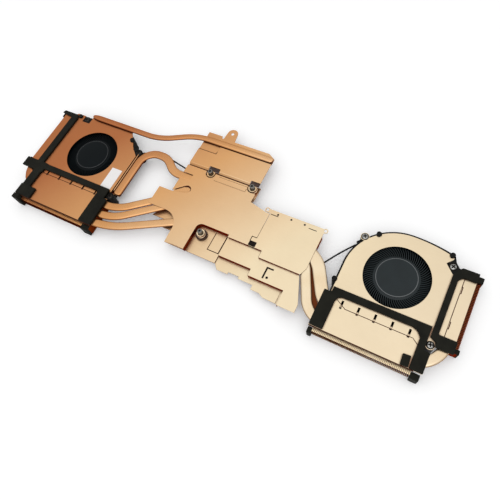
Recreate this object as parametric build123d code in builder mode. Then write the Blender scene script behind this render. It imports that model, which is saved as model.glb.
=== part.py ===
from build123d import *
import math
import os

os.makedirs("parts", exist_ok=True)

# Twin-blower laptop heatsink, lying with its intakes up.
# Millimetres, +Z up, the table at Z = 0, the origin under the middle of the outline.

# Heights, from the table up
floor_t = 0.8            # blower floor
fan_h = 9.6              # underside of the copper covers and plates
sheet_t = 0.4            # copper sheet
pipe_t = 2.0             # flattened heat pipe
pipe_bevel = 0.6         # rounded-off long edges of a pipe
fin_lift = 0.4           # fins above the table
foam_t = 1.5             # gasket foam
foam_bar = 5.4           # width of the left gasket's long bar
wrap_t = 0.8             # foam round a fin stack's end
front_wrap_t = 1.8       # the same on a front face
cold_t = 1.6             # cold plate's slab, under the pipes
pedestal_t = 1.6         # cold plate's pedestal, below its slab
bracket_t = 0.8          # mounting bracket
step_drop = 1.6          # stepped plate below the main plate
panel_rise = 0.8         # upper plate's panel above its ledge
fit_gap = 0.2            # gap between neighbouring sheets and walls

# Blowers
intake_r = 20.0
wall_t = 0.9             # blower's moulded wall
impeller_r = 26.0
hub_r = 14.0
hub_cap_r = 12.0
hub_wall = 1.4
hub_bevel = 1.6
hub_gap = 0.2            # hub's cap below the cover
blade_gap = 1.0          # blades below the cover and above the floor
blade_count = 36
blade_t = 0.5
blade_lean = 16.0        # degrees from root to tip
shaft_r = 1.0
shaft_clear = 0.04
bearing_r = 2.4
bearing_h = 5.4
stator_gap = 1.6         # between the poles and the magnet
stator_h = 3.0
stator_lift = 1.2        # above the blower's floor
pole_count = 6
pole_w = 2.6
magnet_t = 1.6
magnet_h = 4.0
motor_sides = 16         # facets of the motor's hidden round pieces
rim_line = 0.6           # moulded wall kept inside the left cover's back
right_rim = 1.1          # moulded wall seen past the right cover's edge
small_sides = 12         # facets of pins, lugs, collars and screw heads
stake_r = 1.6            # heat-staked pins
stake_h = 1.0            # above the cover
lug_r = 2.8
fan_screw_r = 0.75
fan_screw_head_r = 2.0
fan_screw_head_h = 0.8
fan_screw_l = 4.0
slot_w = 1.3
slot_l = 4.3
slot_count = 5
kink_w = 0.6             # notches along the right side seam
kink_l = 4.6
seam_kinks = (-16.2, 6.6)

# Right blower, from its own centre
right_edge = 31.8        # left edge of the cover
right_back = 29.0        # back of the cover
right_scroll_r = 32.0
right_corner = (23.4, 26.0)
right_side = 35.3        # seam of the side outlet
right_front = 31.2       # seam of the front outlet
right_side_span = (-23.6, 13.9)
scroll_x = right_scroll_r - right_edge
scroll_y = right_back - right_scroll_r
pin_turn = math.radians(127.58)  # first pin and first screw lug, round the scroll
lug_turn = math.radians(142.39)
pin_reach = right_scroll_r + 0.3
lug_reach = right_scroll_r + 2.08
right_stakes = [
    (scroll_x + pin_reach * math.cos(pin_turn), scroll_y + pin_reach * math.sin(pin_turn)),
    (24.9, 25.9),
    (-right_edge - 1.4, -15.9),
]
right_lugs = [
    (scroll_x + lug_reach * math.cos(lug_turn), scroll_y + lug_reach * math.sin(lug_turn)),
    (27.3, 19.1),
    (30.1, -31.2),
]
right_slot_mid = -2.5
right_slot_pitch = 10.15

# Left blower, from its own centre
left_back = 32.6
left_right = 34.0        # fold beside the loop pipe
left_side = 37.6
left_front = 28.5
left_stakes = [(-30.7, 26.9), (23.3, 22.4)]
left_lugs = [(-24.2, 26.2), (34.3, 14.4), (35.3, -26.1)]
left_slot_pitch = 11.4
ledge_w = 7.0            # ledge that carries the loop pipe
ledge_span = (-22.9, 10.8)

# Blower centres in plan, the second one set so that the outline is centred on the origin
left_fan = (-117.75, -0.9)
right_fan = (left_side - right_side - left_fan[0], -5.1)

# Fin stacks
fin_pitch = 2.05
fin_t = 0.3
fin_flange = 0.3
fin_proud = 2.3          # front fins past their cover
side_fin_proud = 2.8
right_fins_span = (-33.0, 26.0)
left_fins_span = (-36.2, 34.3)
right_side_fins_span = (-29.9, 19.6)
left_side_fins_span = (-22.6, 26.4)

# Heat pipes: widths, rows in the stacks and rows under the plates
pipe_w = 6.0
back_pipe_w = 4.6
loop_pipe_w = 5.6
wide_pipe_w = 8.5
front_pipe_w = 6.5

# Outlet stacks and seams
seam_gap = 0.3           # seam between a blower cover and a fin cover
right_stack_depth = 19.7
left_stack_depth = 25.5
side_stack_w = 9.7

# Rows of pipes: left stack and right stack, from their seams, then under the plates
first_row = -4.4
last_row = 6.0 - left_stack_depth
left_rows = (first_row, (first_row + last_row) / 2, last_row)
right_rows = (-2.4, 7.3 - right_stack_depth)
plate_rows = (-0.9, -8.1, -15.3)
right_plate_rows = (-9.3, -17.3)
ledge_pipe_y = 42.5
loop_row = 8.9

# Centre plates: edges in plan
plate_left = -42.2
plate_right = 14.6
seam_y = 18.4            # between the main and the upper plate
seam_x = 30.5            # between the main and the right plate
step_seam = -21.9        # fold from the main plate to the stepped plate
flange_y = 4.4
arm_x = -52.5
arm_low = -20.3
arm_fillet = 11.8
leg_left = -26.2
leg_low = -41.5
pocket_x = -11.2
pocket_y = -20.1
pocket_r_corner = 4.0
upper_back = 47.8
right_end = 68.8
seam_window = (5.0, 3.6)  # window at the front end of that seam
seam_tab = (3.0, 2.8)    # tab of the right plate behind the window
seam_slit = 0.5
plate_corner = 37.6      # notch in the right plate's front left corner
step_left = 12.1
step_right = 73.5
step_low = -50.5
step_mid = -40.2
step_tail = 61.4
bracket_right = step_left - 2 * fit_gap
tab_r = 4.0
tab_hole = (-24.2, right_front + right_stack_depth + front_wrap_t - right_fan[1] - tab_r)
tab_hole_r = 1.1
ring_span = 41.5
ring_r = 1.8
ring_hole_r = 1.0
screw_window_r = 3.7     # window of the main plate round a captive screw
window_w = (3.0, 5.5)    # window of the upper plate beside a screw
window_l = 4.2
label_t = 0.1
notch_r = 3.2            # round end of the main plate's notch
score_w = 0.45           # scored lines in the sheets
score_d = 0.25
lap = 2.0                # upper plate's lip under the main plate

# Cold plates
main_cold = ((-29.0, -19.0), (17.0, 2.8))
main_chip = (-6.05, -8.1)
main_pedestal = (24.0, 18.0)
second_cold = ((23.0, -20.4), (60.0, -5.2))
second_margin = 2.0

# Captive screws
screw_mid_x = -6.05
screw_span = 33.3
screw_back_y = 17.65
screw_front_y = -26.4
screw_r = 1.0
screw_clear = 0.06
screw_head_r = 1.75
screw_head_h = 2.9
screw_lift = 1.8         # head above its collar, sprung up
screw_tip = 1.6          # thread below the bracket
collar_r = 3.2
collar_h = 2.2
pocket_r = 1.9
spring_r = 1.65
spring_wire = 0.4

# Leads
lead_d = 1.1
plug_l = 6.0
plug_w = 4.2
plug_h = 3.0
right_lead_z = 6.0
left_lead_z = 6.6
right_lead = ((90.6, 8.0), (83.2, -0.7), (75.8, -13.3))
left_lead = ((-79.9, 15.7), (-69.0, 21.2), (-54.5, 18.2), (-40.5, 15.4))

cover_top = fan_h + sheet_t
pipe_z = fan_h - pipe_t
bracket_top = pipe_z - cold_t
bracket_z = bracket_top - bracket_t
step_z = fan_h - step_drop
low_z = bracket_z - sheet_t


def write(builder, name):
    """Labels a finished piece and writes its STEP file."""
    builder.part.label = name
    export_step(builder.part, f"parts/{name}.step")


def outline(*points):
    """Face of the sketch in hand, with straight edges through the points."""
    Polygon(*points, align=None)


def block(low, high, mode=Mode.ADD):
    """Rectangle of the sketch in hand, from its lower left to its upper right corner."""
    with Locations(((low[0] + high[0]) / 2, (low[1] + high[1]) / 2)):
        Rectangle(high[0] - low[0], high[1] - low[1], mode=mode)


def fan_plane(fan, height):
    """Plane through a blower's centre line at a height above the table."""
    return Plane((fan[0], fan[1], height))


def polar(radius, degrees):
    """Point at a radius and an angle."""
    return (
        radius * math.cos(math.radians(degrees)),
        radius * math.sin(math.radians(degrees)),
    )


# Rotor of each blower: impeller, shaft and ring magnet, then bearing and stator
hub_top = fan_h - hub_gap
hub_low = floor_t + blade_gap
blade_top = fan_h - blade_gap
cap_low = hub_top - hub_bevel
magnet_r = hub_r - hub_wall
stator_r = magnet_r - magnet_t - stator_gap
bearing_low = floor_t
stator_low = floor_t + stator_lift
shaft_low = floor_t + fit_gap
hub_slope = math.degrees(math.atan((hub_r - hub_cap_r) / (hub_top - blade_top)))


def blade_outline():
    """Swept-back blade seen along the shaft, of even thickness."""
    root_r = hub_r - hub_wall / 2
    root = math.degrees(blade_t / 2 / root_r)
    tip = math.degrees(blade_t / 2 / impeller_r)
    return (
        polar(root_r, -root),
        polar(impeller_r, blade_lean - tip),
        polar(impeller_r, blade_lean + tip),
        polar(root_r, root),
    )


for side, fan in (("left", left_fan), ("right", right_fan)):
    with BuildPart() as impeller:
        with BuildSketch(fan_plane(fan, hub_low)):
            RegularPolygon(hub_r, blade_count)
            with PolarLocations(0, blade_count):
                Polygon(*blade_outline(), align=None)
        extrude(amount=blade_top - hub_low)
        with BuildSketch(fan_plane(fan, blade_top)):
            RegularPolygon(hub_r, blade_count)
        extrude(amount=hub_top - blade_top, taper=hub_slope)
        with BuildSketch(fan_plane(fan, hub_low)):
            RegularPolygon(magnet_r, motor_sides)
        extrude(amount=cap_low - hub_low, mode=Mode.SUBTRACT)
    write(impeller, f"{side}_fan_impeller")

    with BuildPart() as shaft:
        with BuildSketch(fan_plane(fan, shaft_low)):
            Circle(shaft_r)
        extrude(amount=cap_low - shaft_low)
    write(shaft, f"{side}_fan_shaft")

    with BuildPart() as magnet:
        with BuildSketch(fan_plane(fan, cap_low - magnet_h)):
            RegularPolygon(magnet_r, motor_sides)
            RegularPolygon(magnet_r - magnet_t, motor_sides, mode=Mode.SUBTRACT)
        extrude(amount=magnet_h)
    write(magnet, f"{side}_fan_magnet")

    with BuildPart() as bearing:
        with BuildSketch(fan_plane(fan, bearing_low)):
            RegularPolygon(bearing_r, motor_sides)
            Circle(shaft_r + shaft_clear, mode=Mode.SUBTRACT)
        extrude(amount=bearing_h)
    write(bearing, f"{side}_fan_bearing")

    with BuildPart() as stator:
        with BuildSketch(fan_plane(fan, stator_low)):
            with PolarLocations(stator_r / 2, pole_count):
                Rectangle(stator_r, pole_w)
            RegularPolygon(bearing_r, motor_sides, mode=Mode.SUBTRACT)
        extrude(amount=stator_h)
    write(stator, f"{side}_fan_stator")


def moulded_fittings(fan, stakes, lugs):
    """Adds a blower's screw lugs and heat-staked pins to its moulding."""
    with BuildSketch(fan_plane(fan, 0)) as posts:
        with Locations(*lugs):
            RegularPolygon(lug_r, small_sides)
    extrude(posts.sketch, amount=fan_h)
    with BuildSketch(fan_plane(fan, 0)) as pins:
        with Locations(*stakes):
            RegularPolygon(stake_r, small_sides)
    extrude(pins.sketch, amount=cover_top + stake_h)
    with BuildSketch(fan_plane(fan, fan_h)) as holes:
        with Locations(*lugs):
            RegularPolygon(fan_screw_r + screw_clear, motor_sides // 2)
    extrude(holes.sketch, amount=-fan_screw_l, mode=Mode.SUBTRACT)


def lead_exit(points, level, width):
    """Adds the block that a fan lead leaves a moulding by."""
    run = math.dist(points[0], points[1])
    ahead = ((points[1][0] - points[0][0]) / run, (points[1][1] - points[0][1]) / run, 0)
    face = Plane((points[0][0], points[0][1], level), x_dir=(-ahead[1], ahead[0], 0), z_dir=ahead)
    with BuildSketch(face) as exit_face:
        Rectangle(width, lead_d + 0.7)
    extrude(exit_face.sketch, amount=-3.0)


# Right blower: scroll housing with outlets to the front and to the right
right_wall_side = right_side - 0.9
side_low, side_high = right_side_span


def right_scroll(grow, *rest):
    """Left edge and scroll of the right blower, grown outward, then the given corners."""
    edge = -right_edge - grow
    corner = (right_corner[0] + grow, right_corner[1] + grow)
    with BuildLine() as edges:
        Line(rest[-1], (edge, scroll_y))
        CenterArc((scroll_x, scroll_y), right_scroll_r + grow, 180, -90)
        TangentArc((scroll_x, right_back + grow), corner, tangent=(1, 0))
        Polyline(corner, *rest)
    make_face(edges.edges())


with BuildPart() as right_fan_housing:
    with BuildSketch(fan_plane(right_fan, 0)):
        right_scroll(
            right_rim,
            (26.8, 26.2),
            (28.4, 22.4),
            (31.0, side_high + 5.7),
            (right_wall_side, side_high + 5.7),
            (right_wall_side, side_low - 3.0),
            (right_lugs[2][0] + lug_r, -right_front),
            (-right_edge - right_rim, -right_front),
        )
    extrude(amount=fan_h)
    with BuildSketch(fan_plane(right_fan, floor_t)):
        right_scroll(
            right_rim - wall_t,
            (24.5, 17.5),
            (27.5, side_high),
            (right_side + 5, side_high),
            (right_side + 5, side_low),
            (27.5, side_low),
            (25.6, side_low - 4.4),
            (25.6, -right_front - 5),
            (-right_edge - right_rim + wall_t, -right_front - 5),
        )
    extrude(amount=fan_h - floor_t, mode=Mode.SUBTRACT)
    moulded_fittings(right_fan, right_stakes, right_lugs)
    lead_exit(right_lead, right_lead_z, 3.4)
    with BuildSketch(fan_plane(right_fan, fan_h)):
        block((-right_edge - 2.0, -right_front), (-20.0, -right_front + 8.0))
    extrude(amount=-pipe_t - fit_gap, mode=Mode.SUBTRACT)
write(right_fan_housing, "right_fan_housing")


def cover_openings(fan, stakes, ears, slot_mid, slot_pitch, slot_edge):
    """Cuts a cover's intake, pin notches, screw holes and the slots along its front seam."""
    with BuildSketch(fan_plane(fan, fan_h)) as cuts:
        Circle(intake_r)
        with Locations(*stakes):
            RegularPolygon(stake_r + fit_gap, small_sides)
        with Locations(*ears):
            RegularPolygon(fan_screw_r + fit_gap, motor_sides // 2)
        with Locations((slot_mid, slot_edge)):
            with GridLocations(slot_pitch, 0, slot_count, 1):
                Rectangle(slot_w, slot_l * 2)
    extrude(cuts.sketch, amount=sheet_t, mode=Mode.SUBTRACT)


with BuildPart() as right_fan_cover:
    with BuildSketch(fan_plane(right_fan, fan_h)):
        right_scroll(
            0,
            (26.4, 25.0),
            (26.3, 23.4),
            (23.1, 19.8),
            (28.3, side_high + 0.4),
            (right_side, side_high + 0.4),
            (right_side, side_low),
            (right_lugs[2][0] + lug_r, right_lugs[2][1] + lug_r),
            (right_lugs[2][0] - lug_r, right_lugs[2][1] - lug_r),
            (24.0, -right_front - 2.6),
            (20.5, -right_front),
            (-20.0, -right_front),
            (-26.5, -right_front + 3.8),
            (-right_edge, -right_front + 4.4),
        )
        with Locations(right_lugs[0], right_lugs[2]):
            RegularPolygon(lug_r, small_sides)
    extrude(amount=sheet_t)
    ears = (right_lugs[0], right_lugs[2])
    cover_openings(right_fan, right_stakes, ears, right_slot_mid, right_slot_pitch, -right_front)
write(right_fan_cover, "right_fan_cover")

# Left blower: square-backed housing with outlets to the front and to the left
left_wall = left_right - sheet_t - fit_gap
left_wall_side = left_side - fit_gap * 2
left_wall_back = left_back - rim_line
left_wall_front = left_front - fit_gap


def left_scroll(radius, back, front, *rest):
    """Right side, round corner and back of the left blower, then the given corners."""
    top = (math.sqrt(radius**2 - back**2), back)
    middle = polar(radius, math.degrees(math.atan2(top[1], top[0])) / 2)
    with BuildLine() as edges:
        Line((radius, -front), (radius, 0))
        ThreePointArc((radius, 0), middle, top)
        Polyline(top, *rest, (radius, -front))
    make_face(edges.edges())


with BuildPart() as left_fan_housing:
    with BuildSketch(fan_plane(left_fan, 0)):
        left_scroll(
            left_wall,
            left_wall_back,
            left_wall_front,
            (-19.6, left_wall_back),
            (-19.6, left_wall_back - 3.3),
            (-34.0, left_wall_back - 3.3),
            (-left_wall_side, left_wall_back - 5.5),
            (-left_wall_side, -left_wall_front),
        )
        with Locations(left_lugs[1]):
            Rectangle(lug_r * 3, lug_r, align=(Align.MAX, Align.CENTER))
    extrude(amount=fan_h)
    with BuildSketch(fan_plane(left_fan, floor_t)):
        left_scroll(
            left_wall - wall_t,
            left_wall_back - wall_t,
            left_front + 5,
            (-18.7, left_wall_back - wall_t),
            (-18.7, 22.6),
            (-left_side - 5, 22.6),
            (-left_side - 5, -21.5),
            (-33.0, -21.5),
            (-33.0, -left_front - 5),
        )
    extrude(amount=fan_h - floor_t, mode=Mode.SUBTRACT)
    moulded_fittings(left_fan, left_stakes, left_lugs)
    lead_exit(left_lead, left_lead_z, 2.4)
write(left_fan_housing, "left_fan_housing")

ledge_z = pipe_z - sheet_t
with BuildPart() as left_fan_cover:
    with BuildSketch(fan_plane(left_fan, fan_h)):
        outline(
            (-left_side, -left_front),
            (31.5, -left_front),
            (31.5, ledge_span[0]),
            (left_right, ledge_span[0]),
            (left_right, ledge_span[1]),
            (27.3, 17.4),
            (19.8, 28.0),
            (19.8, left_back),
            (-20.0, left_back),
            (-20.0, 23.4),
            (-27.0, 23.4),
            (-27.0, 28.9),
            (-34.0, 28.9),
            (-left_side, 26.5),
        )
    extrude(amount=sheet_t)
    with BuildSketch(fan_plane(left_fan, ledge_z)):
        block((left_right - sheet_t, ledge_span[0]), (left_right, ledge_span[1]))
    extrude(amount=fan_h - ledge_z)
    with BuildSketch(fan_plane(left_fan, ledge_z)):
        block((left_right - sheet_t, ledge_span[0]), (left_right + ledge_w, ledge_span[1]))
    extrude(amount=sheet_t)
    cover_openings(left_fan, left_stakes, [left_lugs[0]], 0, left_slot_pitch, -left_front)
write(left_fan_cover, "left_fan_cover")

# Fan screws, with flat heads: dark ones on the left blower and bright ones on the right
right_heads = [(right_lugs[0], cover_top), (right_lugs[1], fan_h), (right_lugs[2], cover_top)]
left_heads = [(lug, fan_h) for lug in left_lugs]
for side, fan, heads in (("left", left_fan, left_heads), ("right", right_fan, right_heads)):
    with BuildPart() as screws:
        for place, seat in heads:
            with BuildSketch(fan_plane(fan, seat)):
                with Locations(place):
                    RegularPolygon(fan_screw_head_r, small_sides)
            extrude(amount=fan_screw_head_h)
            with BuildSketch(fan_plane(fan, seat)):
                with Locations(place):
                    RegularPolygon(fan_screw_r, motor_sides // 2)
            extrude(amount=-fan_screw_l)
    write(screws, f"{side}_fan_screws")

# Fin stacks: upright fins between a bottom and a top strip, one stack at each outlet


def fin_stack(name, low, high, along, strip_high):
    """Row of fins over a plan rectangle, spaced along X or Y, with the top strip cut short."""
    width = high[0] - low[0]
    depth = high[1] - low[1]
    middle = ((low[0] + high[0]) / 2, (low[1] + high[1]) / 2)
    count = int((width if along == "X" else depth) / fin_pitch)
    with BuildPart() as fins:
        with BuildSketch(Plane.XY.offset(fin_lift + fin_flange)) as rows:
            with Locations(middle):
                if along == "X":
                    with GridLocations(fin_pitch, depth, count, 1):
                        Rectangle(fin_t, depth)
                else:
                    with GridLocations(width, fin_pitch, 1, count):
                        Rectangle(width, fin_t)
        extrude(rows.sketch, amount=pipe_z - fin_lift - 2 * fin_flange)
    with BuildPart() as bottom:
        with BuildSketch(Plane.XY.offset(fin_lift)) as base:
            block(low, high)
        extrude(base.sketch, amount=fin_flange)
    with BuildPart() as top:
        with BuildSketch(Plane.XY.offset(pipe_z - fin_flange)) as strip:
            block(strip_high[0], strip_high[1])
        extrude(strip.sketch, amount=fin_flange)
    stack = Compound(label=name, children=[fins.part, bottom.part, top.part])
    export_step(stack, f"parts/{name}.step")


def spot(fan, u, v):
    """Plan point from a blower's centre."""
    return (fan[0] + u, fan[1] + v)


right_cover_low = -right_front - right_stack_depth + fin_proud
left_cover_low = -left_front - left_stack_depth + fin_proud
right_fins_low = spot(right_fan, right_fins_span[0], -right_front - right_stack_depth)
right_fins_high = spot(right_fan, right_fins_span[1], -right_front - fit_gap)
fin_stack("right_front_fins", right_fins_low, right_fins_high, "X", (right_fins_low, right_fins_high))
left_fins_low = spot(left_fan, left_fins_span[0], -left_front - left_stack_depth)
left_fins_high = spot(left_fan, left_fins_span[1], -left_front - 0.7)
fin_stack("left_front_fins", left_fins_low, left_fins_high, "X", (left_fins_low, left_fins_high))
right_side_low = spot(right_fan, right_side + fit_gap, right_side_fins_span[0])
right_side_high = spot(right_fan, right_side + side_stack_w, right_side_fins_span[1])
right_strip_high = spot(right_fan, right_side + side_stack_w - side_fin_proud, right_side_fins_span[1])
fin_stack("right_side_fins", right_side_low, right_side_high, "Y", (right_side_low, right_strip_high))
left_side_low = spot(left_fan, -left_side - side_stack_w, left_side_fins_span[0])
left_side_high = spot(left_fan, -left_side - fit_gap, left_side_fins_span[1])
left_strip_low = spot(left_fan, -left_side - side_stack_w + side_fin_proud, left_side_fins_span[0])
fin_stack("left_side_fins", left_side_low, left_side_high, "Y", (left_strip_low, left_side_high))

# Copper covers over the pipes and fins at the outlets
with BuildPart() as right_front_fin_cover:
    with BuildSketch(fan_plane(right_fan, fan_h)):
        outline(
            (right_fins_span[0] - 3.0, right_cover_low),
            (right_fins_span[1] + 5.5, right_cover_low),
            (right_fins_span[1] + 5.5, -right_front - 4.3),
            (26.2, -right_front - 4.3),
            (24.0, -right_front - 2.9),
            (20.5, -right_front - seam_gap),
            (-20.0, -right_front - seam_gap),
            (-26.5, -right_front + 3.5),
            (-right_edge - seam_gap, -right_front + 4.1),
            (-right_edge - seam_gap, -right_front + 6.8),
            (right_fins_span[0] - 3.0, -right_front + 6.8),
        )
        with Locations((right_slot_mid, -right_front)):
            with GridLocations(right_slot_pitch, 0, slot_count, 1):
                Rectangle(slot_w, 2.0, mode=Mode.SUBTRACT)
    extrude(amount=sheet_t)
write(right_front_fin_cover, "right_front_fin_cover")

with BuildPart() as left_front_fin_cover:
    with BuildSketch(fan_plane(left_fan, fan_h)):
        block((left_fins_span[0] - 0.3, left_cover_low), (left_fins_span[1] + 0.5, -left_front - seam_gap))
        with Locations((0, -left_front)):
            with GridLocations(left_slot_pitch, 0, slot_count, 1):
                Rectangle(slot_w, 2.0, mode=Mode.SUBTRACT)
    extrude(amount=sheet_t)
write(left_front_fin_cover, "left_front_fin_cover")

with BuildPart() as right_side_fin_cover:
    with BuildSketch(fan_plane(right_fan, fan_h)):
        block(
            (right_side + seam_gap, right_side_fins_span[0] - 0.6),
            (right_side + side_stack_w - side_fin_proud, right_side_fins_span[1]),
        )
        with Locations(*((right_side + seam_gap, place) for place in seam_kinks)):
            Rectangle(kink_w * 2, kink_l, mode=Mode.SUBTRACT)
    extrude(amount=sheet_t)
write(right_side_fin_cover, "right_side_fin_cover")

with BuildPart() as left_side_fin_cover:
    with BuildSketch(fan_plane(left_fan, fan_h)):
        block(
            (-left_side - side_stack_w + side_fin_proud, left_side_fins_span[0] - 1.0),
            (-left_side - seam_gap, left_side_fins_span[1]),
        )
    extrude(amount=sheet_t)
write(left_side_fin_cover, "left_side_fin_cover")

# Heat pipes: flattened tubes, each swept along straight runs and round bends


def next_corner(corner, rise, degrees):
    """Second corner of a slanting run that climbs by the rise at the angle."""
    return (corner[0] + abs(rise) / math.tan(math.radians(degrees)), corner[1] + rise)


def heat_pipe(name, width, low, radii, *points):
    """Flattened pipe, soldered flat underneath, lying at the given height."""
    ahead = math.atan2(points[1][1] - points[0][1], points[1][0] - points[0][0])
    level = low + pipe_t / 2
    with BuildPart() as pipe:
        with BuildLine(Plane.XY.offset(level)) as route:
            FilletPolyline(*points, radius=radii)
        start = Plane(
            origin=(points[0][0], points[0][1], level),
            x_dir=(-math.sin(ahead), math.cos(ahead), 0),
            z_dir=(math.cos(ahead), math.sin(ahead), 0),
        )
        with BuildSketch(start) as section:
            Rectangle(width, pipe_t)
            chamfer(section.vertices().group_by(Axis.Y)[-1], pipe_bevel)
        sweep(section.sketch, path=route.line)
    write(pipe, name)


stack_row = [left_fan[1] - left_front + row for row in left_rows]
rear_corner = (-72.8, stack_row[0])
middle_corner = (-72.1, stack_row[1])
front_corner = (-70.7, stack_row[2])
pipe_end = 19.8
heat_pipe(
    "left_heat_pipe_rear", pipe_w, pipe_z, [30, 30],
    (left_fan[0] - 29.0, stack_row[0]),
    rear_corner,
    next_corner(rear_corner, plate_rows[0] - stack_row[0], 37),
    (pipe_end, plate_rows[0]),
)
side_pipe_x = left_fan[0] - left_side - 3.4
heat_pipe(
    "left_heat_pipe_middle", pipe_w, pipe_z, [16, 30, 30],
    (side_pipe_x, 24.5),
    (side_pipe_x, stack_row[1]),
    middle_corner,
    next_corner(middle_corner, plate_rows[1] - stack_row[1], 37),
    (pipe_end, plate_rows[1]),
)
heat_pipe(
    "left_heat_pipe_front", pipe_w, pipe_z, [60, 20],
    (left_fan[0] - 32.5, stack_row[2]),
    front_corner,
    next_corner(front_corner, plate_rows[2] - stack_row[2], 28),
    (pipe_end, plate_rows[2]),
)
right_row = [right_fan[1] - right_front + row for row in right_rows]
wide_corner = (70.35, right_plate_rows[0])
heat_pipe(
    "right_heat_pipe_rear", wide_pipe_w, pipe_z, [20, 14],
    (23.8, right_plate_rows[0]),
    wide_corner,
    next_corner(wide_corner, right_row[0] - right_plate_rows[0], 60),
    (right_fan[0] + 25.2, right_row[0]),
)
turn_corner = (65.8, right_plate_rows[1])
right_pipe_x = right_fan[0] + right_side + 2.6
heat_pipe(
    "right_heat_pipe_front", front_pipe_w, pipe_z, [8, 16, 16.4],
    (33.2, right_plate_rows[1]),
    turn_corner,
    next_corner(turn_corner, right_row[1] - right_plate_rows[1], 64),
    (right_pipe_x, right_row[1]),
    (right_pipe_x, 10.5),
)
back_pipe_y = left_fan[1] + left_back - back_pipe_w / 2
heat_pipe(
    "back_heat_pipe", back_pipe_w, cover_top, [45, 45],
    (-137.2, back_pipe_y),
    (-74.2, back_pipe_y),
    (-47.7, ledge_pipe_y),
    (14.3, ledge_pipe_y),
)
loop_pipe_x = left_fan[0] + left_right + ledge_w / 2 + 0.8
heat_pipe(
    "loop_heat_pipe", loop_pipe_w, pipe_z, [12, 14, 14],
    (loop_pipe_x, left_fan[1] + ledge_span[0] + 0.1),
    (loop_pipe_x, 18.0),
    (-60.2, 18.0),
    (-49.7, loop_row),
    (-26.2, loop_row),
)

# Captive screws on their bracket, each in a collar and held up by a spring
screw_places = [
    (screw_mid_x - screw_span / 2, screw_back_y),
    (screw_mid_x + screw_span / 2, screw_back_y),
    (screw_mid_x, screw_front_y),
]
head_z = bracket_top + collar_h + screw_lift
for number, place in enumerate(screw_places, start=1):
    with BuildPart() as screw:
        with BuildSketch(Plane.XY.offset(bracket_z - screw_tip)):
            with Locations(place):
                Circle(screw_r)
        extrude(amount=head_z - bracket_z + screw_tip)
        with BuildSketch(Plane.XY.offset(head_z)):
            with Locations(place):
                RegularPolygon(screw_head_r, small_sides)
        extrude(amount=screw_head_h)
    write(screw, f"captive_screw_{number}")

    with BuildPart() as spring:
        with BuildSketch(Plane.XY.offset(bracket_top)):
            with Locations(place):
                RegularPolygon(spring_r, 8)
                RegularPolygon(spring_r - spring_wire, 8, major_radius=False, mode=Mode.SUBTRACT)
        extrude(amount=head_z - bracket_top)
    write(spring, f"captive_screw_spring_{number}")

with BuildPart() as captive_screw_collars:
    with BuildSketch(Plane.XY.offset(bracket_top)):
        with Locations(*screw_places):
            RegularPolygon(collar_r, small_sides)
            RegularPolygon(pocket_r, small_sides, mode=Mode.SUBTRACT)
    extrude(amount=collar_h)
write(captive_screw_collars, "captive_screw_collars")

# Cold plates under the pipes, with pedestals that reach the chips
with BuildPart() as main_cold_plate:
    with BuildSketch(Plane.XY.offset(bracket_top)):
        block(main_cold[0], main_cold[1])
    extrude(amount=cold_t)
    with BuildSketch(Plane.XY.offset(bracket_top)):
        with Locations(main_chip):
            Rectangle(*main_pedestal)
    extrude(amount=-pedestal_t)
write(main_cold_plate, "main_cold_plate")

with BuildPart() as second_cold_plate:
    with BuildSketch(Plane.XY.offset(bracket_top)):
        block(second_cold[0], second_cold[1])
    extrude(amount=cold_t)
    with BuildSketch(Plane.XY.offset(bracket_top)):
        block(second_cold[0], second_cold[1])
        offset(amount=-second_margin, mode=Mode.REPLACE)
    extrude(amount=-pedestal_t)
write(second_cold_plate, "second_cold_plate")

# Mounting bracket, seen at the bottom of the main plate's pocket
with BuildPart() as mounting_bracket:
    with BuildSketch(Plane.XY.offset(bracket_z)):
        outline(
            (-28.2, -40.8),
            (bracket_right, -40.8),
            (bracket_right, 6.0),
            (screw_places[1][0] + collar_r + 0.8, 11.0),
            (screw_places[1][0] + collar_r + 0.8, screw_back_y + collar_r + 0.8),
            (-28.2, screw_back_y + collar_r + 0.8),
        )
        block((-36.6, -31.7), (-28.2, -27.1))
        outline((-47.4, -25.9), (-42.0, -17.0), (-28.2, -17.0), (-28.2, -25.9))
        block((plate_left - 1.2, -9.0), (-28.2, 5.0))
        with Locations(main_chip):
            Rectangle(main_pedestal[0] + 2 * fit_gap, main_pedestal[1] + 2 * fit_gap, mode=Mode.SUBTRACT)
        with Locations(*screw_places):
            Circle(screw_r + screw_clear, mode=Mode.SUBTRACT)
    extrude(amount=bracket_t)
    with BuildSketch(Plane.XY.offset(bracket_top)):
        block((2.1, -34.2), (2.1 + score_w, pocket_y - 0.4))
        block((2.1, -34.2), (bracket_right - 0.6, -34.2 + score_w))
        block((bracket_right - 0.6 - 1.5 * score_w, -34.2), (bracket_right - 0.6, pocket_y - 0.4))
    extrude(amount=-2 * score_d, mode=Mode.SUBTRACT)
write(mounting_bracket, "mounting_bracket")

# Window and tab at the front end of the seam between the main and the right plate
seam_window_low = (seam_x - 0.66 * seam_window[0], step_seam + 0.2)
seam_window_high = (seam_window_low[0] + seam_window[0], seam_window_low[1] + seam_window[1])
seam_notch_low = (seam_x - seam_tab[0] - seam_slit, seam_window_high[1])
seam_notch_high = (seam_x, seam_window_high[1] + seam_tab[1] + seam_slit)

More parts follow.
